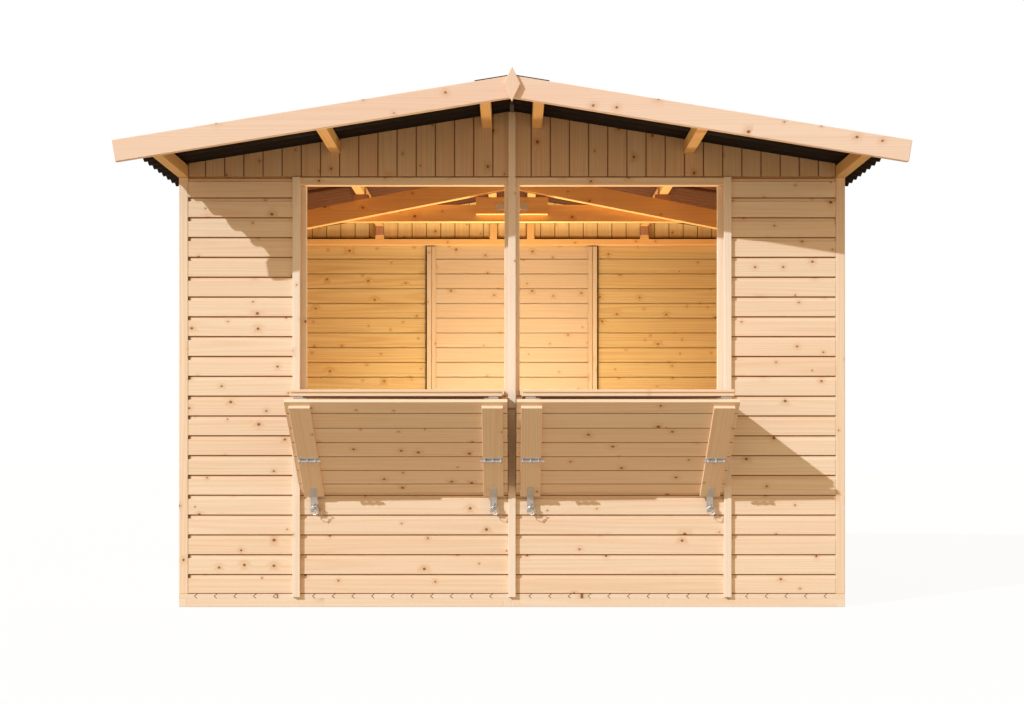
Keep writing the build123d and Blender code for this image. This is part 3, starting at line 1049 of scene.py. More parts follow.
    @staticmethod
    def extent(thing: Thing) -> tuple[Vector, Vector]:
        """Lowest and highest corner of an object's box."""
        return Vector(thing.bound_box[0]), Vector(thing.bound_box[6])

    @staticmethod
    def smooth(thing: Thing, angle: float) -> Thing:
        """Shades the faces smoothly up to an angle.

        Args:
            thing: The object.
            angle: The angle between faces in degrees.

        Returns:
            The object.
        """
        Bench.pick(thing)
        bpy.ops.object.shade_smooth_by_angle(angle=math.radians(angle))
        return thing


class Grain:
    """Lays the grain of the wood on meshes as attributes that the pine finish reads."""

    LEAN = 0.010
    SHIFT_ALONG = 60.0
    SHIFT_ACROSS = 0.06
    PITH_DEPTH = (0.03, 0.12)
    TONE_SPREAD = 0.45

    @staticmethod
    def top(links: list[int], item: int) -> int:
        """Follows the links from a vertex to the one that stands for its loose part.

        Args:
            links: For each vertex, itself or another one of the same part.
            item: Number of the vertex.

        Returns:
            Number of the vertex that stands for the part.
        """
        while links[item] != item:
            links[item] = links[links[item]]
            item = links[item]
        return item

    @staticmethod
    def islands(mesh: bpy.types.Mesh) -> np.ndarray:
        """Numbers the loose parts.

        Args:
            mesh: The mesh.

        Returns:
            For each vertex, the number of the part to which it belongs.
        """
        links = list(range(len(mesh.vertices)))
        for edge in mesh.edges:
            first, second = (Grain.top(links, vertex) for vertex in edge.vertices)
            links[first] = second
        return np.unique([Grain.top(links, vertex) for vertex in range(len(links))], return_inverse=True)[1]

    @staticmethod
    def lay(thing: Thing, along: Vector, across: Vector, seed: str) -> Thing:
        """Lays grain on every loose part of an object.

        Args:
            thing: The object.
            along: Direction of the fibres.
            across: Direction over the width of the boards.
            seed: Word from which the variation is drawn.

        Returns:
            The object.
        """
        mesh = thing.data
        draw = random.Random(seed)
        along = Vector(along).normalized()
        across = Vector(across).normalized()
        inward = along.cross(across)
        places = np.empty(len(mesh.vertices) * 3)
        mesh.vertices.foreach_get("co", places)
        places = places.reshape(-1, 3)
        raw = np.stack([places @ np.array(way) for way in (along, across, inward)], axis=1)
        tones = np.zeros(len(raw))
        part_of = Grain.islands(mesh)
        for part in range(part_of.max() + 1):
            rows = part_of == part
            own = raw[rows]
            middle = (own.min(0) + own.max(0)) / 2
            lean = draw.uniform(-Grain.LEAN, Grain.LEAN)
            reach = own[:, 0] - middle[0]
            raw[rows, 0] = reach + draw.uniform(0.0, Grain.SHIFT_ALONG)
            raw[rows, 1] = own[:, 1] - middle[1] + draw.uniform(-Grain.SHIFT_ACROSS, Grain.SHIFT_ACROSS)
            raw[rows, 2] = own[:, 2] - middle[2] + draw.uniform(*Grain.PITH_DEPTH) + lean * reach
            tones[rows] = max(-1.0, min(1.0, draw.gauss(0.0, Grain.TONE_SPREAD)))
        grain = mesh.attributes.new("grain", "FLOAT_VECTOR", "POINT")
        grain.data.foreach_set("vector", raw.astype(np.float32).ravel())
        shade = mesh.attributes.new("tone", "FLOAT", "POINT")
        shade.data.foreach_set("value", tones.astype(np.float32))
        return thing

    @staticmethod
    def mark(thing: Thing, name: str, test: Callable[[Vector, Vector], bool]) -> Thing:
        """Marks faces by an attribute.

        Args:
            thing: The object.
            name: Name of the attribute.
            test: Whether a face with this middle and normal is marked.

        Returns:
            The object.
        """
        faces = thing.data.polygons
        marks = thing.data.attributes.new(name, "FLOAT", "FACE")
        marks.data.foreach_set("value", np.array([test(f.center, f.normal) for f in faces], dtype=np.float32))
        return thing


class Stock:
    """Prepares timbers and ironwork, and hands finished pieces over to the frame."""

    @staticmethod
    def dress(thing: Thing, name: str, finish: Finish) -> None:
        """Names a piece and gives it its finish.

        Args:
            thing: The finished piece.
            name: Name of the piece.
            finish: Finish of the piece.
        """
        thing.name = name
        thing.data.name = name
        thing.data.materials.clear()
        thing.data.materials.append(SHELF.material(finish))
        LOG.info("%s: %d faces", name, len(thing.data.polygons))

    @staticmethod
    def hand_in(thing: Thing, name: str, finish: Finish, nodes: Sequence[str], body: str = "stall") -> None:
        """Dresses a piece that stands for CAD nodes and lets it ride on its body.

        Args:
            thing: The finished piece.
            name: Name of the piece.
            finish: Finish of the piece.
            nodes: CAD nodes for which it stands.
            body: CAD body that it moves with.
        """
        Stock.dress(thing, name, finish)
        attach(thing, body)
        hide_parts(*nodes)

    @staticmethod
    def extra(thing: Thing, name: str, finish: Finish) -> None:
        """Dresses a piece of the stall that stands for no CAD node.

        Args:
            thing: The finished piece.
            name: Name of the piece.
            finish: Finish of the piece.
        """
        Stock.dress(thing, name, finish)
        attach(thing, "stall")

    @staticmethod
    def stick(
        x: Span, y: Span, z: Span, along: Vector, across: Vector, seed: str, bevel: float = 0.0015
    ) -> Thing:
        """Straight timber with its grain.

        Args:
            x: Lower and upper X.
            y: Lower and upper Y.
            z: Lower and upper Z.
            along: Direction of the fibres.
            across: Direction over the timber's width.
            seed: Word from which its variation is drawn.
            bevel: Width of the eased edges.

        Returns:
            The new timber.
        """
        return Grain.lay(Bench.block(x, y, z, bevel), along, across, seed)

    @staticmethod
    def timber(node: str, along: Vector, across: Vector, finish: Finish, ease: float = 0.0014) -> None:
        """Dresses a CAD node made of single timbers.

        Args:
            node: The CAD node.
            along: Direction of the fibres.
            across: Direction over the width of the timbers.
            finish: Finish of the timbers.
            ease: Width of the eased edges.
        """
        parts = Bench.loose(Bench.ease(Bench.from_cad(node), ease))
        for number, part in enumerate(parts):
            Grain.lay(part, along, across, f"{node} {number}")
        Stock.hand_in(Bench.join(parts), f"{node}_timber", finish, [node])

    @staticmethod
    def steel(node: str, extras: Sequence[Thing] = (), ease: float = 0.0005, body: str = "stall") -> None:
        """Dresses a CAD node made of steel.

        Args:
            node: The CAD node.
            extras: More steel parts that are joined to it.
            ease: Width of the eased edges.
            body: CAD body that it moves with.
        """
        copy = Bench.ease(Bench.from_cad(node), ease)
        whole = Bench.smooth(Bench.join([copy, *extras]), 30.0)
        Stock.hand_in(whole, f"{node}_steel", FinishShelf.STEEL, [node], body)


@dataclass(frozen=True)
class Shiplap:
    """Section of a shiplap board: depth into the wall and height above the board's lower lip."""

    cover: float
    depth: float = 0.018
    face_top: float = 0.070
    recess: float = 0.007
    lip: float = 0.0065
    tongue: float = 0.006
    joint: float = 0.0115
    line: float = 0.0828
    ease: float = 0.0012
    rear_ease: float = 0.0015
    foot: float = 0.0045
    slants: tuple[float, float, float] = (0.0005, 0.0002, 0.0003)
    joint_end: float = 0.002

    def section(self, bottom: bool = False, top: bool = False) -> list[tuple[float, float]]:
        """Corners of the section.

        Args:
            bottom: Whether the board stands on something flat.
            top: Whether the board is cut off level with its cover.

        Returns:
            Corners as depth and height.
        """
        high = self.cover if top else self.cover + self.tongue
        points = [
            (0.0, self.ease),
            (0.0, self.face_top - self.ease),
            (self.ease, self.face_top),
            (self.recess, self.face_top + self.slants[0]),
            (self.recess + self.slants[1], self.line),
            (self.recess + self.slants[2], high),
            (self.depth - self.ease, high),
            (self.depth, high - self.ease),
        ]
        if bottom:
            return [(0.0, self.foot), *points[1:], (self.depth, 0.0), (self.foot, 0.0)]
        return points + [
            (self.depth, self.joint + self.rear_ease),
            (self.depth - self.rear_ease, self.joint),
            (self.recess, self.joint),
            (self.lip, 0.0),
            (self.ease, 0.0),
        ]

    def board(self, start: Vector, inward: Vector, pull: Vector, level: int, **ends: bool) -> Thing:
        """One board of a wall.

        Args:
            start: Outer lower corner of the wall.
            inward: Direction into the wall.
            pull: Vector along the board to its other end.
            level: How many boards lie below this one.
            ends: Whether it is the bottom or the top board.

        Returns:
            The board.
        """
        base = start + UP_WAY * (self.cover * level)
        return Bench.prism([base + inward * d + UP_WAY * h for d, h in self.section(**ends)], pull)

    def wall(self, start: Vector, inward: Vector, pull: Vector, courses: int, seed: str) -> Thing:
        """Builds a wall of boards, with the faces inside their joints marked for painted shade.

        Args:
            start: Outer lower corner of the lowest board.
            inward: Direction into the wall.
            pull: Vector along the boards to their other ends.
            courses: How many boards stand on each other.
            seed: Word from which the boards' variation is drawn.

        Returns:
            The boards as one object.
        """
        middle = Bench.repeat(self.board(start, inward, pull, 1), courses - 2, UP_WAY * self.cover)
        bottom = self.board(start, inward, pull, 0, bottom=True)
        top = self.board(start, inward, pull, courses - 1, top=True)
        whole = Bench.join([middle, bottom, top])
        along = Vector(pull).normalized()

        def in_joint(place: Vector, way: Vector) -> bool:
            """Whether a face lies in a joint, where the pine finish paints shade.

            Args:
                place: Middle of the face.
                way: Normal of the face.

            Returns:
                Whether it is near a joint's level, behind the outer face, and no end of a board.
            """
            off = abs((place.z - start.z + self.cover / 2) % self.cover - self.cover / 2)
            within = self.ease < (place - start).dot(inward) < self.depth - self.joint_end
            return within and off < self.cover - self.line and abs(way.dot(along)) < 0.5

        # Painted shade: faces inside the joints are marked for darkening.
        Grain.mark(whole, "joint", in_joint)
        return Grain.lay(whole, pull, UP_WAY, seed)


# Sub-assemblies.


@dataclass
class FloorPlatform:
    """Floor boards that run from front to back on two frames of beams."""

    plan: Plan
    pitch: float = 0.0873
    tongue: float = 0.012
    gap: float = 0.0042
    joints_each_way: int = 16
    beam: float = 0.036
    beam_play: float = 0.0002
    beam_ease: float = 0.0012
    cross_beams: int = 5
    set_back: float = 0.0015
    # Size and play of the dark blocks of painted shade in the floor joints.
    filling: float = 0.006
    filling_over: float = 0.0006
    filling_play: Span = (0.0004, 0.001)

    def build(self) -> None:
        """Builds both halves."""
        for side in Side:
            self.boards(side)
            self.beams(side)

    def boards(self, side: Side) -> None:
        """Boards of one half, whose joints show as pointed tongues at the front.

        Args:
            side: Half of the floor.
        """
        plan = self.plan
        low, high, half = plan.beam_top, plan.floor_top, plan.half_width
        middle = (low + high) / 2
        joints = [self.pitch * number for number in range(-self.joints_each_way, self.joints_each_way + 1)]
        edges = [-half, *joints, half]
        parts = []
        for start, end in zip(edges, edges[1:]):
            if (start + end) * side.value < 0:
                continue
            at_left, at_right = start == -half, end == half
            start += 0.0 if at_left else self.gap / 2
            end -= 0.0 if at_right else self.gap / 2
            groove = [] if at_right else [(end - self.tongue, middle)]
            tongue = [] if at_left else [(start - self.tongue, middle)]
            section = [(start, low), (end, low), *groove, (end, high), (start, high), *tongue]
            outline = [Vector((x, -plan.half_depth, z)) for x, z in section]
            board = Bench.prism(outline, BACK_WAY * (2 * plan.half_depth))
            parts.append(Grain.lay(board, BACK_WAY, RIGHT_WAY, f"floor {start:.3f}"))
        whole = Bench.join(parts)
        # Painted shade: the boards' side faces inside the joints are marked for darkening.
        Grain.mark(whole, "joint", lambda place, way: abs(way.x) > 0.3 and abs(place.x) < half - 0.01)
        node = f"floor_boards_{side.word}"
        Stock.hand_in(whole, f"{node}_planks", FinishShelf.FLOOR, [node])
        self.joints(side, [x for x in joints if 0.0 < x * side.value < half - self.tongue])

    def joints(self, side: Side, places: list[float]) -> None:
        """Dark blocks of painted shade in the joints between the boards' front ends.

        Args:
            side: Half of the floor.
            places: Where the joints are.
        """
        low, high = self.plan.beam_top + self.filling_play[0], self.plan.floor_top - self.filling_play[1]
        middle, wide = (low + high) / 2, self.gap / 2 + self.filling_over
        y = -self.plan.half_depth + self.set_back
        parts = []
        for x in places:
            right = [(x + wide, low), (x + wide - self.tongue, middle), (x + wide, high)]
            left = [(x - wide, high), (x - wide - self.tongue, middle), (x - wide, low)]
            outline = [Vector((a, y, b)) for a, b in right + left]
            parts.append(Bench.prism(outline, BACK_WAY * self.filling))
        # Painted shade: dark blocks set into the joints at the front.
        Stock.extra(Bench.join(parts), f"floor_joints_{side.word}", FinishShelf.SEAL)

    def beams(self, side: Side) -> None:
        """Side beams and cross beams of one half.

        Args:
            side: Half of the floor.
        """
        plan = self.plan
        z = (0.0, plan.beam_top)
        edge = plan.half_width - self.beam
        parts = []
        for number, x in enumerate((side.span(self.beam_play, self.beam), side.span(edge, plan.half_width))):
            y = (-plan.half_depth, plan.half_depth)
            seed = f"side beam {side.word} {number}"
            parts.append(Stock.stick(x, y, z, BACK_WAY, RIGHT_WAY, seed, self.beam_ease))
        step = (2 * plan.half_depth - self.beam) / (self.cross_beams - 1)
        for number in range(self.cross_beams):
            front = -plan.half_depth + number * step
            x, y = side.span(self.beam, edge), (front, front + self.beam)
            seed = f"cross beam {side.word} {number}"
            parts.append(Stock.stick(x, y, z, RIGHT_WAY, UP_WAY, seed, self.beam_ease))
        node = f"floor_frame_{side.word}"
        Stock.hand_in(Bench.join(parts), f"{node}_beams", FinishShelf.FLOOR, [node])


@dataclass
class FrontWall:
    """Boards, posts, sills, header and trims of the front."""

    plan: Plan
    lap: Shiplap
    play: float = 0.0012
    slope: float = math.radians(16.0)
    reveal: float = 0.034
    post_ease: float = 0.002
    header_ease: float = 0.0015
    trim_ease: float = 0.0012
    notch: float = 0.009
    notch_low: float = 0.538
    notch_high: float = 0.88
    notch_step: float = 0.002
    # Size and place of the dark blocks of painted shadow in the lap ends beside the left corner post.
    lap_end: float = 0.005
    lap_end_inset: Point = (0.0002, 0.0015, 0.001)
    lap_end_height: float = 0.016

    def build(self) -> None:
        """Builds the front wall."""
        for side in Side:
            self.boards(side)
        Stock.timber("corner_posts", UP_WAY, RIGHT_WAY, FinishShelf.CLADDING, 0.0025)
        self.window_posts()
        Stock.timber("sill_rails", RIGHT_WAY, BACK_WAY, FinishShelf.CLADDING, self.post_ease)
        self.header()
        self.trims()
        self.lap_ends()

    def boards(self, side: Side) -> None:
        """Boards beside the hatch and below it, in one half.

        Args:
            side: Half of the front.
        """
        plan = self.plan
        apron_courses = round((plan.apron_top - plan.floor_top) / plan.course)
        spans = {
            f"front_panel_{side.word}": (plan.panel_joint, plan.post_inner_x, plan.courses),
            f"front_apron_{side.word}": (0.0, plan.panel_joint, apron_courses),
        }
        for node, (near, far, courses) in spans.items():
            low, high = side.span(near, far)
            start = Vector((low + self.play, -plan.half_depth, plan.floor_top))
            pull = RIGHT_WAY * (high - low - 2 * self.play)
            boards = self.lap.wall(start, BACK_WAY, pull, courses, node)
            Stock.hand_in(boards, f"{node}_boards", FinishShelf.CLADDING, [node])

    def window_posts(self) -> None:
        """Posts of the hatches, the outer two with their inner edges cut back towards the inside."""
        parts = Bench.loose(Bench.from_cad("window_posts"))
        for number, part in enumerate(parts):
            low, high = Bench.extent(part)
            side = 1.0 if low.x > 0.0 else -1.0
            if low.x * high.x > 0.0:
                inner = side * min(abs(low.x), abs(high.x))
                edge = Vector((inner, -self.plan.half_depth + self.reveal, 0.0))
                Bench.cut(part, edge, Vector((-side * math.cos(self.slope), math.sin(self.slope), 0.0)))
            Bench.ease(part, self.post_ease)
            Grain.lay(part, UP_WAY, RIGHT_WAY, f"window post {number}")
        Stock.hand_in(Bench.join(parts), "window_posts_timber", FinishShelf.TRIM, ["window_posts"])

    def header(self) -> None:
        """Header whose lower edge is cut back towards the inside."""
        copy = Bench.from_cad("front_header")
        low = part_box("front_header")[0]
        edge = Vector((0.0, low.y + self.reveal, low.z))
        Bench.cut(copy, edge, Vector((0.0, math.sin(self.slope), -math.cos(self.slope))))
        Bench.ease(copy, self.header_ease)
        Grain.lay(copy, RIGHT_WAY, UP_WAY, "front header")
        Stock.hand_in(copy, "front_header_timber", FinishShelf.CLADDING, ["front_header"])

    def trims(self) -> None:
        """Strips over the joints, two of them set back behind the folded shutters above a slanted end."""
        parts = []
        for number, part in enumerate(Bench.loose(Bench.from_cad("front_trims"))):
            low, high = Bench.extent(part)
            if low.x > -0.1:
                ends = [(self.notch_low, 0.0), (self.notch_low + self.notch, self.notch)]
                ends += [(self.notch_high, self.notch), (self.notch_high + self.notch_step, 0.0)]
                front = [Vector((low.x, low.y + back, z)) for z, back in [(low.z, 0.0), *ends, (high.z, 0.0)]]
                rear = [Vector((low.x, high.y, high.z)), Vector((low.x, high.y, low.z))]
                bpy.data.objects.remove(part)
                part = Bench.prism(front + rear, RIGHT_WAY * (high.x - low.x))
            Bench.ease(part, self.trim_ease)
            parts.append(Grain.lay(part, UP_WAY, RIGHT_WAY, f"front_trims {number}"))
        Stock.hand_in(Bench.join(parts), "front_trims_timber", FinishShelf.TRIM, ["front_trims"])

    def lap_ends(self) -> None:
        """Dark blocks of painted shadow in the open ends of the laps beside the left corner post."""
        plan = self.plan
        left = -plan.post_inner_x + self.lap_end_inset[0]
        front = -plan.half_depth + self.lap_end_inset[1]
        low = plan.floor_top + self.lap.face_top + self.lap_end_inset[2]
        x, y = (left, left + self.lap_end), (front, front + self.lap_end)
        end = Bench.block(x, y, (low, low + self.lap_end_height), 0.0)
        Stock.extra(Bench.repeat(end, plan.courses - 1, UP_WAY * plan.course), "lap_ends", FinishShelf.SEAL)


@dataclass
class SideWalls:
    """Boards and inner frames of the two sides."""

    plan: Plan
    lap: Shiplap
    play: float = 0.001

    def build(self) -> None:
        """Builds both side walls and their frames."""
        plan = self.plan
        reach = plan.post_inner_y
        frames = []
        for side in Side:
            start = Vector((side.value * plan.half_width, -reach + self.play, plan.floor_top))
            pull = BACK_WAY * (2 * reach - 2 * self.play)
            inward = RIGHT_WAY * -side.value
            boards = self.lap.wall(start, inward, pull, plan.courses, f"side {side.word}")
            node = f"side_wall_{side.word}"
            Stock.hand_in(boards, f"{node}_boards", FinishShelf.CLADDING, [node])
            frames += self.frame_parts(side)
        Stock.hand_in(Bench.join(frames), "side_frames_timber", FinishShelf.FRAME, ["side_frames"])

    def frame_parts(self, side: Side) -> list[Thing]:
        """Rails and studs inside one side wall.

        Args:
            side: Side of the stall.

        Returns:
            The timbers.
        """
        plan = self.plan
        reach, timber = plan.post_inner_y, plan.timber
        inner = plan.half_width - plan.board_depth
        x = side.span(inner - timber, inner)
        truss_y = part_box("rafter_right")[0].y
        rails = [(plan.floor_top, plan.floor_top + timber), (plan.wall_top - timber, plan.wall_top)]
        parts = []
        for z in rails:
            seed = f"side rail {side.word} {z[0]:.3f}"
            parts.append(Stock.stick(x, (-reach, reach), z, BACK_WAY, UP_WAY, seed))
        for front in (-reach, (truss_y - reach) / 2, truss_y, (reach - truss_y) / 2, reach - timber):
            z = (rails[0][1], rails[1][0])
            seed = f"stud {side.word} {front:.3f}"
            parts.append(Stock.stick(x, (front, front + timber), z, UP_WAY, BACK_WAY, seed))
        return parts


@dataclass
class BackWall:
    """Boards and inner frames beside the back door."""

    plan: Plan
    lap: Shiplap
    play: float = 0.001

    def build(self) -> None:
        """Builds the back wall."""
        frames = []
        for side in Side:
            self.boards(side)
            frames += self.frame_parts(side)
        Stock.hand_in(Bench.join(frames), "back_frames_timber", FinishShelf.FRAME, ["back_frames"])

    def boards(self, side: Side) -> None:
        """Boards beside the door, in one half.

        Args:
            side: Half of the back.
        """
        plan = self.plan
        node = f"back_wall_{side.word}"
        low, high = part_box(node)
        start = Vector((low.x, plan.half_depth, plan.floor_top))
        pull = RIGHT_WAY * (high.x - low.x - self.play)
        boards = self.lap.wall(start, -BACK_WAY, pull, plan.courses, node)
        Stock.hand_in(boards, f"{node}_boards", FinishShelf.INNER, [node])

    def frame_parts(self, side: Side) -> list[Thing]:
        """Rail and stud inside one half of the back wall.

        Args:
            side: Half of the back.

        Returns:
            The timbers.
        """
        plan = self.plan
        floor, timber = plan.floor_top, plan.timber
        inner = plan.half_depth - plan.board_depth
        y = (inner - timber, inner)
        near = min(abs(edge.x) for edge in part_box(f"back_wall_{side.word}"))
        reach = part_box("back_frames")[1].x
        rail_x, stud_x = side.span(near, reach - timber), side.span(reach - timber, reach)
        return [
            Stock.stick(rail_x, y, (floor, floor + timber), RIGHT_WAY, UP_WAY, f"back rail {side.word}"),
            Stock.stick(stud_x, y, (floor, plan.wall_top), UP_WAY, RIGHT_WAY, f"back stud {side.word}"),
        ]


@dataclass
class Gables:
    """Upright boards, inner rails and centre battens of both gables."""

    plan: Plan
    pitch: float = 0.085
    slot: float = 0.0044
    bevel: float = 0.0020
    clearance: float = 0.0005
    groove: float = 0.0052
    groove_span: Span = (0.0055, 0.0125)
    tongue: float = 0.004
    tongue_span: Span = (0.006, 0.012)
    rise: float = 0.0050
    roof_play: float = 0.0001
    roof_over: float = 0.02
    notch_over: float = 0.1
    batten_drop: float = 0.008
    batten_ease: float = 0.0014
    rail: float = 0.034
    cleat: float = 0.052
    seat_over: float = 0.003
    seat_ease: float = 0.001
    # Place of the dark strip of painted shadow on the boards just above each gable rail.
    felt_span: Span = (0.0004, 0.0024)
    felt_rise: Span = (0.0002, 0.013)

    def build(self) -> None:
        """Builds both gables."""
        for end in End:
            for side in Side:
                self.boards(end, side)
        self.frames()
        self.battens()

    def battens(self) -> None:
        """Centre strips that reach up between the ridge purlins."""
        low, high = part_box("gable_battens")
        x, z = (low.x, high.x), (low.z, self.plan.ridge_underside - self.batten_drop)
        parts = []
        for y in ((low.y, -self.plan.half_depth), (self.plan.half_depth, high.y)):
            parts.append(Stock.stick(x, y, z, UP_WAY, RIGHT_WAY, f"batten {y[0]:.3f}", self.batten_ease))
        Stock.hand_in(Bench.join(parts), "gable_battens_timber", FinishShelf.TRIM, ["gable_battens"])

    def boards(self, end: End, side: Side) -> None:
        """Boards of half a gable, cut along the roof and notched for the purlins.

        Args:
            end: End of the stall.
            side: Half of the gable.
        """
        plan = self.plan
        node = f"gable_{end.word}_{side.word}"
        outer = end.value * plan.half_depth
        parts = []
        near = 0.0
        while near < plan.post_inner_x:
            parts.append(self.board(end, side, near, min(near + self.pitch, plan.post_inner_x)))
            near += self.pitch
        whole = Bench.join(parts)
        Bench.cut(whole, plan.ridge_point() - UP_WAY * self.roof_play, plan.roof_normal(side))
        for purlin in ("eaves_purlins", "mid_purlins", "ridge_purlins"):
            low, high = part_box(purlin)
            far = high.x + self.clearance
            x = side.span(far - (plan.purlin + 2 * self.clearance), far)
            z = (low.z - self.clearance, high.z + self.notch_over)
            Bench.carve(whole, Bench.block(x, (outer - self.notch_over, outer + self.notch_over), z, 0.0))
        near, far = self.bevel, plan.board_depth - self.bevel
        # Painted shade: side faces inside the board joints are marked for darkening.
        Grain.mark(whole, "joint", lambda place, way: abs(way.z) < 0.5 and near < abs(place.y - outer) < far)
        Grain.lay(whole, UP_WAY, RIGHT_WAY, node)
        # The front gable takes painted shade, the back gable painted light.
        finish = FinishShelf.GABLE if end is End.FRONT else FinishShelf.ATTIC
        Stock.hand_in(whole, f"{node}_boards", finish, [node])

    def board(self, end: End, side: Side, near: float, far: float) -> Thing:
        """One upright board with small V joints on both faces.

        Args:
            end: End of the stall.
            side: Half of the gable.
            near: Distance of the board's edge nearer to the stall's middle.
            far: Distance of its other edge.

        Returns:
            The board, higher than the roof.
        """
        plan = self.plan
        ease, deep = self.bevel, plan.board_depth
        left, right = near + self.slot / 2, far - self.slot / 2
        section = [(left + ease, 0.0), (right - ease, 0.0), (right, ease)]
        if far < plan.post_inner_x:
            front, rear = self.tongue_span
            tip = far + self.tongue
            section += [(right, front), (tip, front), (tip, rear), (right, rear)]
        section += [(right, deep - ease), (right - ease, deep), (left + ease, deep), (left, deep - ease)]
        front, rear = self.groove_span
        bottom = near + self.groove
        section += [(left, rear), (bottom, rear), (bottom, front), (left, front), (left, ease)]
        outer, base = end.value * plan.half_depth, plan.wall_top + self.rise
        outline = [Vector((side.value * x, outer - end.value * d, base)) for x, d in section]
        return Bench.prism(outline, UP_WAY * (plan.ridge_underside - plan.wall_top + self.roof_over))

    def frames(self) -> None:
        """Rail, ridge studs and hanging cleats inside each gable, and a dark strip of painted shadow above
        each rail.
        """
        plan = self.plan
        inner = plan.half_depth - plan.board_depth
        rail_top = plan.wall_top + self.rail
        ridge_low, ridge_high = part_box("ridge_purlins")
        mid_low, mid_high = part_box("mid_purlins")
        cleat_low = mid_low.z - self.cleat
        wide = (-plan.post_inner_x, plan.post_inner_x)
        parts, cleats, rail_shadows = [], [], []
        for end in End:
            y = end.span(inner - plan.timber, inner)
            seed = f"gable rail {end.value}"
            parts.append(Stock.stick(wide, y, (plan.wall_top, rail_top), RIGHT_WAY, UP_WAY, seed))
            # Painted shadow: a dark strip on the boards just above the rail.
            rail_shadow_y = end.span(inner - self.felt_span[1], inner - self.felt_span[0])
            rail_shadow_z = (rail_top + self.felt_rise[0], rail_top + self.felt_rise[1])
            rail_shadows.append(Bench.block(wide, rail_shadow_y, rail_shadow_z, 0.0))
            for side in Side:
                where = f"{end.value} {side.word}"
                x = side.span(ridge_high.x - plan.purlin, ridge_high.x)
                z = (rail_top, ridge_low.z)
                parts.append(Stock.stick(x, y, z, UP_WAY, RIGHT_WAY, f"ridge stud {where}"))
                x = side.span(mid_high.x - plan.purlin, mid_high.x)
                z = (cleat_low, mid_low.z)
                cleats.append(Stock.stick(x, y, z, UP_WAY, RIGHT_WAY, f"cleat {where}"))
                x = (x[0] - self.seat_over, x[1] + self.seat_over)
                z = (rail_top, cleat_low)
                parts.append(Stock.stick(x, y, z, RIGHT_WAY, UP_WAY, f"seat {where}", self.seat_ease))
        Stock.hand_in(Bench.join(parts), "gable_frames_timber", FinishShelf.FRAME, ["gable_frames"])
        Stock.hand_in(Bench.join(cleats), "gable_cleats_timber", FinishShelf.DARK, ["gable_frames"])
        Stock.extra(Bench.join(rail_shadows), "gable_felt", FinishShelf.SEAL)


@dataclass
class RoofFrame:
    """Purlins and the middle truss, with the nail plate on its gusset."""

    plan: Plan
    rafter_pitch: float = math.radians(11.0)
    ease: float = 0.002
    plate_half: tuple[float, float] = (0.0825, 0.018)
    plate_thickness: float = 0.0012
    plate_drop: float = 0.004
    plate_ease: float = 0.0003
    dots: tuple[int, int] = (13, 3)
    dot_step: tuple[float, float] = (0.012, 0.011)
    dot_span: Span = (0.0016, 0.001)
    dot_radius: float = 0.0021

    def build(self) -> None:
        """Builds the purlins, rafters, tie, gusset and packers."""
        for name in ("eaves", "mid", "ridge"):
            Stock.timber(f"{name}_purlins", BACK_WAY, UP_WAY, FinishShelf.FRAME, self.ease)
        for side in Side:
            way = Vector((side.value * math.cos(self.rafter_pitch), 0.0, -math.sin(self.rafter_pitch)))
            Stock.timber(f"rafter_{side.word}", way, UP_WAY, FinishShelf.FRAME, self.ease)
        Stock.timber("tie_beam", RIGHT_WAY, UP_WAY, FinishShelf.FRAME, self.ease)
        Stock.timber("purlin_packers", RIGHT_WAY, UP_WAY, FinishShelf.DARK)
        Stock.timber("truss_gusset", RIGHT_WAY, UP_WAY, FinishShelf.FRAME, self.ease)
        self.nail_plate()

    def nail_plate(self) -> None:
        """Plate with rows of nail heads on the gusset's front."""
        low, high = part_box("truss_gusset")
        middle = (low.z + high.z) / 2 - self.plate_drop
        wide, tall = self.plate_half
        y = (low.y - self.plate_thickness, low.y)
        plate = Bench.block((-wide, wide), y, (middle - tall, middle + tall), self.plate_ease)
        x, z = -self.dot_step[0] * (self.dots[0] - 1) / 2, middle - self.dot_step[1] * (self.dots[1] - 1) / 2
        start, end = (Vector((x, low.y - out, z)) for out in self.dot_span)
        dot = Bench.rod(start, end, self.dot_radius, 10)
        Bench.repeat(dot, self.dots[0], RIGHT_WAY * self.dot_step[0])
        Bench.repeat(dot, self.dots[1], UP_WAY * self.dot_step[1])
        Stock.extra(Bench.join([plate, dot]), "nail_plate", FinishShelf.STEEL)


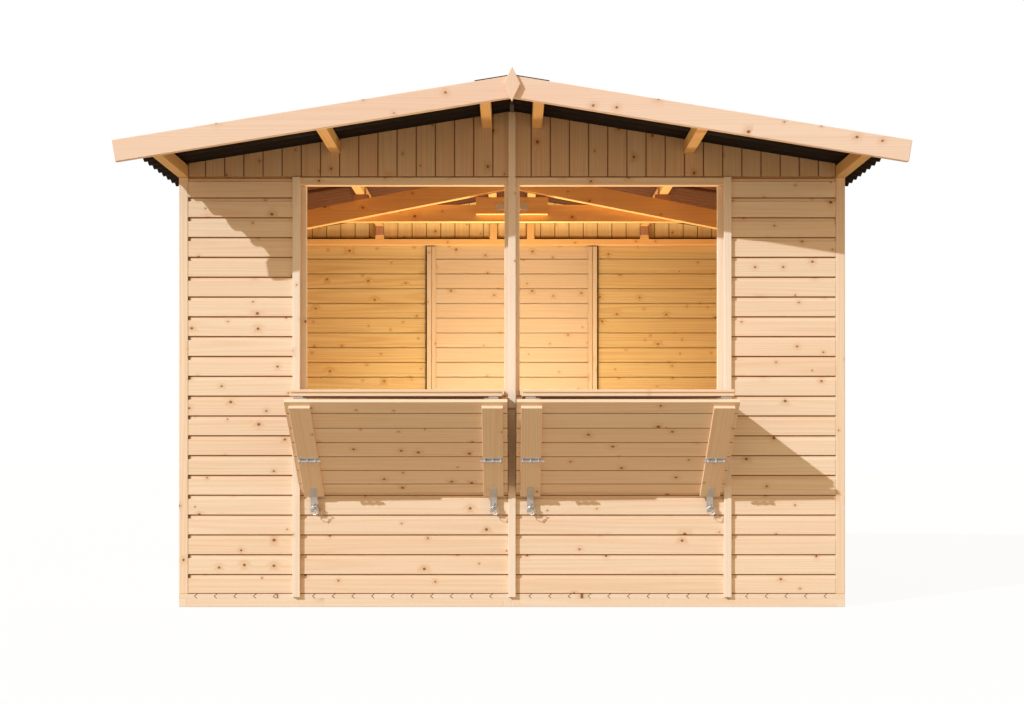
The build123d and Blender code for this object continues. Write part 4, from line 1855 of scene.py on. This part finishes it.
@dataclass
class RoofCovering:
    """Corrugated sheets and the ridge cap."""

    plan: Plan
    wave_pitch: float = 0.0755
    thickness: float = 0.003
    height: float = 0.024
    chords: int = 14
    ridge_gap: float = 0.008
    seat: float = 0.0003
    eaves_short: float = 0.0045
    cap_ease: float = 0.001
    nail_radius: float = 0.011
    nail_sink: float = 0.001
    nail_flat: float = 0.45
    nail_every: int = 3

    def build(self) -> None:
        """Builds both slopes and the cap."""
        for side in Side:
            self.slope(side)
        cap = Bench.ease(Bench.from_cad("ridge_cap"), self.cap_ease)
        Stock.hand_in(cap, "ridge_cap_fold", FinishShelf.CAP, ["ridge_cap"])

    def slope(self, side: Side) -> None:
        """One slope: a wave is drawn, pulled down the slope, repeated, thickened and nailed.

        Args:
            side: Half of the roof.
        """
        plan = self.plan
        node = f"roof_sheet_{side.word}"
        low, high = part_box(node)
        waves = round((high.y - low.y) / self.wave_pitch)
        pitch = (high.y - low.y) / waves
        normal, down = plan.roof_normal(side), plan.down_slope(side)
        reach = (max(abs(low.x), abs(high.x)) - self.ridge_gap) / math.cos(plan.roof_pitch) - self.eaves_short
        base = Vector((0.0, low.y, plan.ridge_underside + self.seat)) + down * self.ridge_gap
        points = []
        for number in range(self.chords + 1):
            turn = 2 * math.pi * number / self.chords
            lift = self.height / 2 * (1 - math.cos(turn)) + self.thickness / 2
            points.append(base + BACK_WAY * (pitch * number / self.chords) + normal * lift)
        sheet = Bench.ribbon(points, down * reach)
        Bench.repeat(sheet, waves, BACK_WAY * pitch, weld=True)
        Bench.turn_outwards(sheet)
        Bench.apply(sheet, "SOLIDIFY", thickness=self.thickness, offset=0.0)
        Bench.turn_outwards(sheet)
        Bench.smooth(sheet, 50.0)
        x, y = plan.half_width, plan.half_depth
        Grain.mark(sheet, "indoors", lambda place, way: way.z < 0.0 and abs(place.y) < y and abs(place.x) < x)
        crest = base + BACK_WAY * (pitch / 2) + normal * (self.height + self.thickness - self.nail_sink)
        nails = self.nails(crest, down, BACK_WAY * (self.nail_every * pitch), waves // self.nail_every)
        Stock.hand_in(Bench.join([sheet, nails]), f"{node}_waves", FinishShelf.SHEET, [node])

    def nails(self, crest: Vector, down: Vector, step: Vector, count: int) -> Thing:
        """Domed caps of the nails on the crests above the purlins.

        Args:
            crest: Upper end of the first crest.
            down: Direction down the slope.
            step: Vector from one nailed crest to the next.
            count: How many crests are nailed.

        Returns:
            The caps of one slope.
        """
        caps = []
        for purlin in ("eaves_purlins", "mid_purlins"):
            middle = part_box(purlin)[1].x - self.plan.purlin / 2
            place = crest + down * (middle / math.cos(self.plan.roof_pitch) - self.ridge_gap)
            cap = Bench.dome(place, self.nail_radius, self.nail_flat)
            caps.append(Bench.repeat(cap, count, step))
        return Bench.smooth(Bench.join(caps), 60.0)


@dataclass
class BargeBoards:
    """Boards over the ends of the purlins, with a diamond at each ridge."""

    plan: Plan
    ease: float = 0.0022
    finial_ease: float = 0.002

    def build(self) -> None:
        """Builds the barge boards and diamonds."""
        for end in End:
            for side in Side:
                way = self.plan.down_slope(side)
                Stock.timber(f"barge_board_{end.word}_{side.word}", way, UP_WAY, FinishShelf.EDGE, self.ease)
        Stock.timber("finials", UP_WAY, RIGHT_WAY, FinishShelf.EDGE, self.finial_ease)


@dataclass(frozen=True)
class Incline:
    """Slanting plane of the braces' visible faces, with X along it and distances down it."""

    corner: Vector
    angle: float

    @property
    def down(self) -> Vector:
        """Direction down the plane, towards the wall."""
        return Vector((0.0, math.cos(self.angle), -math.sin(self.angle)))

    @property
    def rise(self) -> Vector:
        """Normal of the plane, from the visible faces up into the boards."""
        return Vector((0.0, math.sin(self.angle), math.cos(self.angle)))

    def at(self, x: float, along: float, above: float) -> Vector:
        """Point at an X, a distance down the plane and a height above it."""
        return RIGHT_WAY * x + self.corner + self.down * along + self.rise * above

    def slab(self, x: Span, along: Span, above: Span) -> Thing:
        """Box lying on the plane.

        Args:
            x: Lower and upper X.
            along: Distances of its ends down the plane.
            above: Lower and upper height above the plane.

        Returns:
            The new box.
        """
        corners = [(along[0], above[0]), (along[1], above[0]), (along[1], above[1]), (along[0], above[1])]
        return Bench.prism([self.at(x[0], a, b) for a, b in corners], RIGHT_WAY * (x[1] - x[0]))

    def peg(self, x: float, along: Span, above: Span, radius: float, sides: int) -> Thing:
        """Round peg across or along the plane.

        Args:
            x: X of the peg.
            along: Distances of its ends down the plane.
            above: Heights of its ends above the plane.
            radius: Radius of the peg.
            sides: How many flats stand for the round.

        Returns:
            The new peg.
        """
        return Bench.rod(self.at(x, along[0], above[0]), self.at(x, along[1], above[1]), radius, sides)


@dataclass(frozen=True)
class BarrelBolt:
    """Barrel bolt across a batten, with its plate, three eyes, four screws and a knob."""

    incline: Incline
    along: float
    face: float
    plate_half: tuple[float, float] = (0.041, 0.015)
    plate_thickness: float = 0.002
    plate_ease: float = 0.0006
    axis: float = 0.009
    rod_radius: float = 0.005
    rod_span: Span = (-0.038, 0.058)
    knob_place: float = 0.016
    knob_span: Span = (0.002, 0.016)
    knob_radius: float = 0.0022
    eyes: tuple[float, ...] = (-0.034, 0.0, 0.034)
    eye_half: tuple[float, float] = (0.005, 0.008)
    eye_height: float = 0.0155
    eye_ease: float = 0.0035
    screws: tuple[float, float] = (0.017, 0.011)
    screw_span: Span = (0.003, 0.0015)
    screw_radius: float = 0.0026

    def build(self, middle: float, hand: int) -> list[Thing]:
        """Builds the bolt with its rod drawn back to one hand.

        Args:
            middle: X of the batten's middle.
            hand: Sign of the X to which the rod is drawn back.

        Returns:
            The bolt's parts.
        """
        incline, along, face = self.incline, self.along, self.face
        wide, tall = self.plate_half
        plate_x, plate_along = (middle - wide, middle + wide), (along - tall, along + tall)
        plate = incline.slab(plate_x, plate_along, (face - self.plate_thickness, face))
        Bench.ease(plate, self.plate_ease)
        axis = face - self.axis
        tail, head = (incline.at(middle + hand * end, along, axis) for end in self.rod_span)
        rod = Bench.rod(tail, head, self.rod_radius, 20, self.plate_ease)
        knob_along = (along + self.knob_span[0], along + self.knob_span[1])
        knob_x = middle + hand * self.knob_place
        knob = incline.peg(knob_x, knob_along, (axis, axis), self.knob_radius, 12)
        return [plate, rod, knob, *self.eye_parts(middle), *self.screw_parts(middle)]

    def eye_parts(self, middle: float) -> list[Thing]:
        """Eyes that hold the rod.

        Args:
            middle: X of the batten's middle.

        Returns:
            The eyes.
        """
        wide, tall = self.eye_half
        along = (self.along - tall, self.along + tall)
        above = (self.face - self.eye_height, self.face - self.plate_thickness)
        parts = []
        for offset in self.eyes:
            x = middle + offset
            eye = self.incline.slab((x - wide, x + wide), along, above)
            parts.append(Bench.ease(eye, self.eye_ease, 3))
        return parts

    def screw_parts(self, middle: float) -> list[Thing]:
        """Screw heads on the plate.

        Args:
            middle: X of the batten's middle.

        Returns:
            The heads.
        """
        above = (self.face - self.screw_span[0], self.face - self.screw_span[1])
        parts = []
        for across in (-self.screws[0], self.screws[0]):
            for shift in (-self.screws[1], self.screws[1]):
                along = (self.along + shift, self.along + shift)
                parts.append(self.incline.peg(middle + across, along, above, self.screw_radius, 12))
        return parts


@dataclass(frozen=True)
class LockPin:
    """Bent wire pin through a staple, with two linked rings hanging from it."""

    wire: float = 0.0015
    pin_radius: float = 0.0026
    pin_ends: tuple[Point, Point] = ((-0.012, 0.0, 0.004), (0.014, 0.0, -0.002))
    first: Point = (0.003, -0.004, -0.022)
    first_axis: Point = (0.25, 1.0, 0.0)
    first_radius: float = 0.0185
    second: Point = (0.024, -0.001, -0.032)
    second_axis: Point = (-0.45, 1.0, 0.2)
    second_radius: float = 0.0165

    def build(self, hole: Vector) -> list[Thing]:
        """Builds the pin and its rings.

        Args:
            hole: Middle of the staple's hole.

        Returns:
            The parts.
        """
        start, end = (hole + Vector(offset) for offset in self.pin_ends)
        return [
            Bench.rod(start, end, self.pin_radius, 10),
            Bench.ring(hole + Vector(self.first), Vector(self.first_axis), self.first_radius, self.wire),
            Bench.ring(hole + Vector(self.second), Vector(self.second_axis), self.second_radius, self.wire),
        ]


@dataclass
class FoldingShutters:
    """Two folding shutters shown open, each a level counter on a sloping brace."""

    plan: Plan
    counter_boards: int = 5
    counter_ease: float = 0.0018
    counter_play: float = 0.0004
    slit: Span = (0.012, 0.018)
    slit_depth: float = 0.008
    # Place of the dark strip of painted shade under the counter's front edge.
    strip_inset: float = 0.078
    strip_y: Span = (0.001, 0.004)
    strip_z: Span = (0.0062, 0.0003)
    brace_fall: float = 0.393
    brace_out: float = 0.417
    brace_top: float = 0.895
    brace_reach: float = 0.430
    brace_seat: float = 0.0003
    joints: tuple[float, ...] = (0.0676, 0.1556, 0.2436, 0.3316, 0.4196, 0.5076)
    last_face: float = 0.558
    board: float = 0.018
    board_play: float = 0.0003
    groove: float = 0.0018
    groove_depth: float = 0.007
    groove_ends: Span = (0.002, 0.01)
    ease: float = 0.0015
    batten: float = 0.016
    batten_inset: float = 0.018
    batten_width: float = 0.088
    batten_start: float = 0.020
    bolt_rise: float = 0.240
    pin_depth: float = 0.006
    strap_ease: float = 0.0008

    def __post_init__(self) -> None:
        """Works out the braces' plane, length and reach in X."""
        angle = math.atan2(self.brace_fall, self.brace_out)
        low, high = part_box("brace_right")
        self.near, self.far = low.x, high.x
        self.incline = Incline(Vector((0.0, low.y, self.brace_top)), angle)
        self.length = (self.brace_reach - self.board * math.sin(angle) - self.brace_seat) / math.cos(angle)

    def build(self) -> None:
        """Builds both shutters with their fittings."""
        for side in Side:
            self.counter(side)
            self.brace(side)
        self.fittings()

    def counter(self, side: Side) -> None:
        """Level boards, the front one with a slit along its edge, and a dark strip of painted shade under it.

        Args:
            side: Half of the front.
        """
        node = f"counter_{side.word}"
        low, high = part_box(node)
        width = (high.y - low.y) / self.counter_boards
        ease = self.counter_ease
        parts = []
        for number in range(self.counter_boards):
            start, end = low.y + number * width, low.y + (number + 1) * width - self.counter_play
            section = [(start + ease, high.z), (start, high.z - ease)]
            if number == 0:
                deep, lower, upper = start + self.slit_depth, low.z + self.slit[0], low.z + self.slit[1]
                section += [(start, upper), (deep, upper), (deep, lower), (start, lower)]
            section += [(start, low.z + ease), (start + ease, low.z), (end - ease, low.z)]
            section += [(end, low.z + ease), (end, high.z - ease), (end - ease, high.z)]
            outline = [Vector((low.x, y, z)) for y, z in section]
            parts.append(Bench.prism(outline, RIGHT_WAY * (high.x - low.x)))
        whole = Grain.lay(Bench.join(parts), RIGHT_WAY, BACK_WAY, node)
        Stock.hand_in(whole, f"{node}_boards", FinishShelf.CLADDING, [node])
        # Painted shade: a dark strip in the gap under the counter's front edge.
        x = side.span(self.near + self.strip_inset, self.far - self.strip_inset)
        y = (low.y + self.strip_y[0], low.y + self.strip_y[1])
        z = (low.z - self.strip_z[0], low.z - self.strip_z[1])
        Stock.extra(Bench.block(x, y, z, 0.0), f"{node}_strip", FinishShelf.SEAL)

    def brace(self, side: Side) -> None:
        """Sloping boards with grooves between them, and two battens across them.

        Args:
            side: Half of the front.
        """
        node = f"brace_{side.word}"
        corner, down, rise = self.incline.corner, self.incline.down, self.incline.rise
        inset, end_inset = self.groove_ends
        boards = self.brace_boards(side)
        # Painted shade: side faces inside the grooves between boards are marked for darkening.
        Grain.mark(
            boards,
            "joint",
            lambda place, way: abs(way.x) < 0.5
            and inset < (place - corner).dot(rise) < self.board - inset
            and end_inset < (place - corner).dot(down) < self.last_face - end_inset,
        )
        Grain.lay(boards, RIGHT_WAY, down, node)
        battens = []
        for low, high in self.batten_spans():
            along, above = (self.batten_start, self.length), (-self.batten, 0.0)
            batten = Bench.ease(self.incline.slab(side.span(low, high), along, above), self.ease)
            battens.append(Grain.lay(batten, down, RIGHT_WAY, f"{node} batten {low:.3f}"))
        Stock.hand_in(Bench.join([boards, *battens]), f"{node}_boards", FinishShelf.CLADDING, [node])

    def brace_boards(self, side: Side) -> Thing:
        """Boards of one brace.

        Args:
            side: Half of the front.

        Returns:
            The boards as one object.
        """
        x_low, x_high = side.span(self.near, self.far)
        groove, deep, ease = self.groove, self.groove_depth, self.ease
        edges = [0.0, *self.joints, self.length]
        parts = []
        for number, (start, end) in enumerate(zip(edges, edges[1:])):
            last = number == len(self.joints)
            left = start if number == 0 else start + groove
            tail = end if last else end - self.board_play
            head = start + self.board_play
            section = [(left, ease), (left + ease, 0.0)]
            if last:
                section += [(self.last_face, 0.0), (self.last_face, deep), (end, deep)]
            else:
                right = end - groove
                section += [(right - ease, 0.0), (right, ease), (right, deep), (tail, deep)]
            section += [(tail, self.board), (head, self.board)]
            if number:
                section += [(head, deep), (left, deep)]
            outline = [self.incline.at(x_low, along, above) for along, above in section]
            parts.append(Bench.prism(outline, RIGHT_WAY * (x_high - x_low)))
        return Bench.join(parts)

    def batten_spans(self) -> list[Span]:
        """Spans in X of the battens on the right brace."""
        near, far = self.near + self.batten_inset, self.far - self.batten_inset
        return [(near, near + self.batten_width), (far - self.batten_width, far)]

    def fittings(self) -> None:
        """Hinges, barrel bolts, straps, and staples with their ringed pins."""
        Stock.steel("shutter_hinges")
        bolt = BarrelBolt(self.incline, self.length - self.bolt_rise, -self.batten)
        middles = [(low + high) / 2 for low, high in self.batten_spans()]
        bolts = [part for middle, hand in zip(middles, (1, -1)) for part in bolt.build(middle, hand)]
        bolts += [Bench.twin(part) for part in list(bolts)]
        whole = Bench.smooth(Bench.join(bolts), 30.0)
        Stock.hand_in(whole, "shutter_bolts_steel", FinishShelf.STEEL, ["shutter_bolts"])
        Stock.steel("shutter_straps", ease=self.strap_ease)
        low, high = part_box("shutter_staples")
        pin, y, z = LockPin(), low.y + self.pin_depth, (low.z + high.z) / 2
        places = [*middles, *(-middle for middle in middles)]
        pins = [part for x in places for part in pin.build(Vector((x, y, z)))]
        Stock.steel("shutter_staples", pins, ease=self.strap_ease)


@dataclass
class BackDoor:
    """Door in the back wall with its ledges, strap hinges and bolt."""

    plan: Plan
    lap: Shiplap
    clearance: float = 0.0006
    # Depth of the strips of painted shade beside the door, which the lath above it shares.
    seal_y: Span = (0.004, 0.010)
    seal_ease: float = 0.0005
    stile: float = 0.053
    stile_parts: tuple[Span, Span] = ((0.0, 0.0255), (0.0275, 0.053))
    ledge: float = 0.090
    ledge_rises: tuple[float, float] = (0.020, 0.860)
    strap_rises: tuple[float, float, float] = (0.170, 0.920, 1.640)
    screws: int = 4
    screw_start: float = 0.02
    screw_step: float = 0.06
    screw_radius: float = 0.005
    screw_span: Span = (0.0122, 0.0108)

    def build(self) -> None:
        """Builds the door and the fittings of the doorway."""
        plan = self.plan
        low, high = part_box("door_leaf")
        start = Vector((low.x, plan.half_depth, plan.floor_top))
        boards = self.lap.wall(start, -BACK_WAY, RIGHT_WAY * (high.x - low.x), plan.courses, "door")
        Bench.cut(boards, Vector((0.0, 0.0, low.z)), -UP_WAY)
        Bench.cut(boards, Vector((0.0, 0.0, high.z)), UP_WAY)
        Stock.hand_in(boards, "door_leaf_boards", FinishShelf.DOOR, ["door_leaf"], "door")
        self.ledges()
        Stock.steel("door_straps", self.screw_heads(), body="door")
        Stock.steel("door_bolt", body="door")
        Stock.steel("hinge_pins")
        Stock.steel("bolt_keeper")
        self.seals()

    def seals(self) -> None:
        """Dark strips of painted shade in the gaps beside the door, and a lath above it, clear of the leaf.
        """
        low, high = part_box("door_leaf")
        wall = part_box("back_wall_right")[0].x
        near, far = low.y + self.seal_y[0], low.y + self.seal_y[1]
        left, right = (-wall, low.x - self.clearance), (high.x + self.clearance, wall)
        z = (low.z, self.plan.wall_top)
        # Painted shade: dark strips in the gaps beside the door.
        strips = [Bench.block(x, (near, far), z, self.seal_ease) for x in (left, right)]
        Stock.extra(Bench.join(strips), "door_seals", FinishShelf.SEAL)
        x, z = (low.x, high.x), (high.z + self.clearance, self.plan.wall_top)
        lath = Stock.stick(x, (low.y, far), z, RIGHT_WAY, UP_WAY, "door lath", self.seal_ease)
        Stock.extra(lath, "door_lath", FinishShelf.INNER)

    def ledges(self) -> None:
        """Stiles and ledges on the inside of the door."""
        low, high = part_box("door_ledges")
        y = (low.y, high.y)
        parts = []
        for side in Side:
            for near, far in self.stile_parts:
                x, z = side.span(high.x - far, high.x - near), (low.z, high.z)
                parts.append(Stock.stick(x, y, z, UP_WAY, RIGHT_WAY, f"stile {side.word} {near}"))
        for rise in self.ledge_rises:
            x, z = (low.x + self.stile, high.x - self.stile), (low.z + rise, low.z + rise + self.ledge)
            parts.append(Stock.stick(x, y, z, RIGHT_WAY, UP_WAY, f"ledge {rise}"))
        Stock.hand_in(Bench.join(parts), "door_ledges_timber", FinishShelf.DOOR, ["door_ledges"], "door")

    def screw_heads(self) -> list[Thing]:
        """Screw heads along each strap.

        Returns:
            The heads, one object for each strap.
        """
        low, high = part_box("door_straps")
        heads = []
        for rise in self.strap_rises:
            x, z = low.x + self.screw_start, self.plan.floor_top + rise
            start, end = (Vector((x, high.y - depth, z)) for depth in self.screw_span)
            head = Bench.rod(start, end, self.screw_radius, 14)
            heads.append(Bench.repeat(head, self.screws, RIGHT_WAY * self.screw_step))
        return heads


@dataclass
class Studio:
    """Floor, light, backdrop and camera."""

    camera_place: Point = (0.0, -6.65, 0.719)
    lens: float = 44.93
    sensor: float = 36.0
    shift: float = 0.0903
    sun_place: Point = (-6.0, -6.0, 6.0)
    sun_way: Point = (1.217, 1.0, -0.925)
    sun_strength: float = 2.88
    sun_colour: Colour = (0.86, 0.985, 1.17)
    sun_angle: float = math.radians(0.6)
    sky_colour: Colour = (1.10, 0.92, 0.68)
    sky_strength: float = 0.65
    floor_size: float = 60.0
    floor_drop: float = 0.0005
    floor_glow: float = 0.93
    floor_colour: Colour = (0.90, 0.88, 0.86)
    bounce_colour: Colour = (0.46, 0.39, 0.29)
    inner_place: Point = (0.0, 0.03, 0.45)
    inner_tilt: float = math.radians(167.0)
    inner_size: tuple[float, float] = (1.7, 0.5)
    inner_power: float = 30.0
    inner_colour: Colour = (1.0, 0.84, 0.56)
    spot_place: Point = (0.0, 0.03, 1.37)
    spot_radius: float = 0.04
    spot_power: float = 18.0

    def build(self) -> None:
        """Sets up everything around the stall."""
        self.floor()
        self.sun()
        self.inner()
        self.sky()
        self.camera()
        bpy.context.scene.view_settings.view_transform = "Standard"

    def floor(self) -> None:
        """Pale floor that looks nearly white and still takes the stall's shadow."""
        bpy.ops.mesh.primitive_plane_add(size=self.floor_size, location=(0.0, 0.0, -self.floor_drop))
        ground = bpy.context.active_object
        ground.name = "studio_floor"
        graph = Graph("studio_floor")
        seen = graph.out(graph.node("ShaderNodeLightPath"), "Is Camera Ray")
        tint = graph.blend(seen, self.bounce_colour, self.floor_colour)
        matt = graph.node("ShaderNodeBsdfDiffuse", None, {"Color": tint})
        glow = graph.node("ShaderNodeEmission", None, {"Color": (1.0, 1.0, 1.0), "Strength": 1.0})
        shares = {0: seen * self.floor_glow, 1: graph.out(matt, 0), 2: graph.out(glow, 0)}
        ground.data.materials.append(graph.end(graph.node("ShaderNodeMixShader", None, shares)))
        ground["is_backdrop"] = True

    @staticmethod
    def lamp(name: str, energy: float, colour: Colour) -> Thing:
        """Sets the name, power and colour of the lamp added last.

        Args:
            name: Name of the lamp.
            energy: Its power or strength.
            colour: Its colour.

        Returns:
            The lamp.
        """
        made = bpy.context.active_object
        made.name = name
        made.data.energy = energy
        made.data.color = colour
        return made

    def sun(self) -> None:
        """Soft sun from the upper left of the front."""
        bpy.ops.object.light_add(type="SUN", location=self.sun_place)
        sun = self.lamp("studio_sun", self.sun_strength, self.sun_colour)
        sun.rotation_euler = (-Vector(self.sun_way)).to_track_quat("Z", "Y").to_euler()
        sun.data.angle = self.sun_angle

    def inner(self) -> None:
        """Wide lamp low in the stall, for the light its floor throws back, and a small one in its middle."""
        bpy.ops.object.light_add(type="AREA", location=self.inner_place, rotation=(self.inner_tilt, 0.0, 0.0))
        wide = self.lamp("studio_inner", self.inner_power, self.inner_colour)
        wide.visible_camera = False
        wide.data.shape = "RECTANGLE"
        wide.data.size, wide.data.size_y = self.inner_size
        bpy.ops.object.light_add(type="POINT", radius=self.spot_radius, location=self.spot_place)
        self.lamp("studio_spot", self.spot_power, self.inner_colour).visible_camera = False

    def sky(self) -> None:
        """Even light from all around, with white behind the stall."""
        world = bpy.data.worlds.new("studio_sky")
        bpy.context.scene.world = world
        world.use_nodes = True
        tree = world.node_tree
        tree.nodes.clear()
        rays = tree.nodes.new("ShaderNodeLightPath")
        soft = tree.nodes.new("ShaderNodeBackground")
        soft.inputs["Color"].default_value = (*self.sky_colour, 1.0)
        soft.inputs["Strength"].default_value = self.sky_strength
        white = tree.nodes.new("ShaderNodeBackground")
        white.inputs["Color"].default_value = (1.0, 1.0, 1.0, 1.0)
        mixed = tree.nodes.new("ShaderNodeMixShader")
        target = tree.nodes.new("ShaderNodeOutputWorld")
        tree.links.new(rays.outputs["Is Camera Ray"], mixed.inputs[0])
        tree.links.new(soft.outputs[0], mixed.inputs[1])
        tree.links.new(white.outputs[0], mixed.inputs[2])
        tree.links.new(mixed.outputs[0], target.inputs["Surface"])

    def camera(self) -> None:
        """Camera straight in front of the stall."""
        bpy.ops.object.camera_add(location=self.camera_place, rotation=(math.radians(90.0), 0.0, 0.0))
        camera = bpy.context.active_object
        camera.name = "studio_camera"
        camera.data.lens = self.lens
        camera.data.sensor_width = self.sensor
        camera.data.shift_y = self.shift
        bpy.context.scene.camera = camera


@dataclass
class SizeNote:
    """Keeps the object's bounds before and after the looks are built."""

    stages: dict[str, list[list[float]]] = field(default_factory=dict)

    def add(self, stage: str) -> None:
        """Notes the bounds at one stage.

        Args:
            stage: Name of the stage.
        """
        low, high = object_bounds()
        self.stages[stage] = [list(low), list(high)]


def main() -> None:
    """Builds the stall's pieces in order and reports each."""
    logging.basicConfig(level=logging.INFO, format="%(name)s %(message)s")
    note = SizeNote()
    note.add("frame")
    plan = Plan.from_frame()
    lap = Shiplap(cover=plan.course)
    assemblies = [
        FloorPlatform(plan),
        FrontWall(plan, lap),
        SideWalls(plan, lap),
        BackWall(plan, lap),
        Gables(plan),
        RoofFrame(plan),
        RoofCovering(plan),
        BargeBoards(plan),
        FoldingShutters(plan),
        BackDoor(plan, lap),
        Studio(),
    ]
    for assembly in assemblies:
        assembly.build()
        LOG.info("built %s", type(assembly).__name__)
    note.add("looks")


if __name__ == "__main__":
    main()
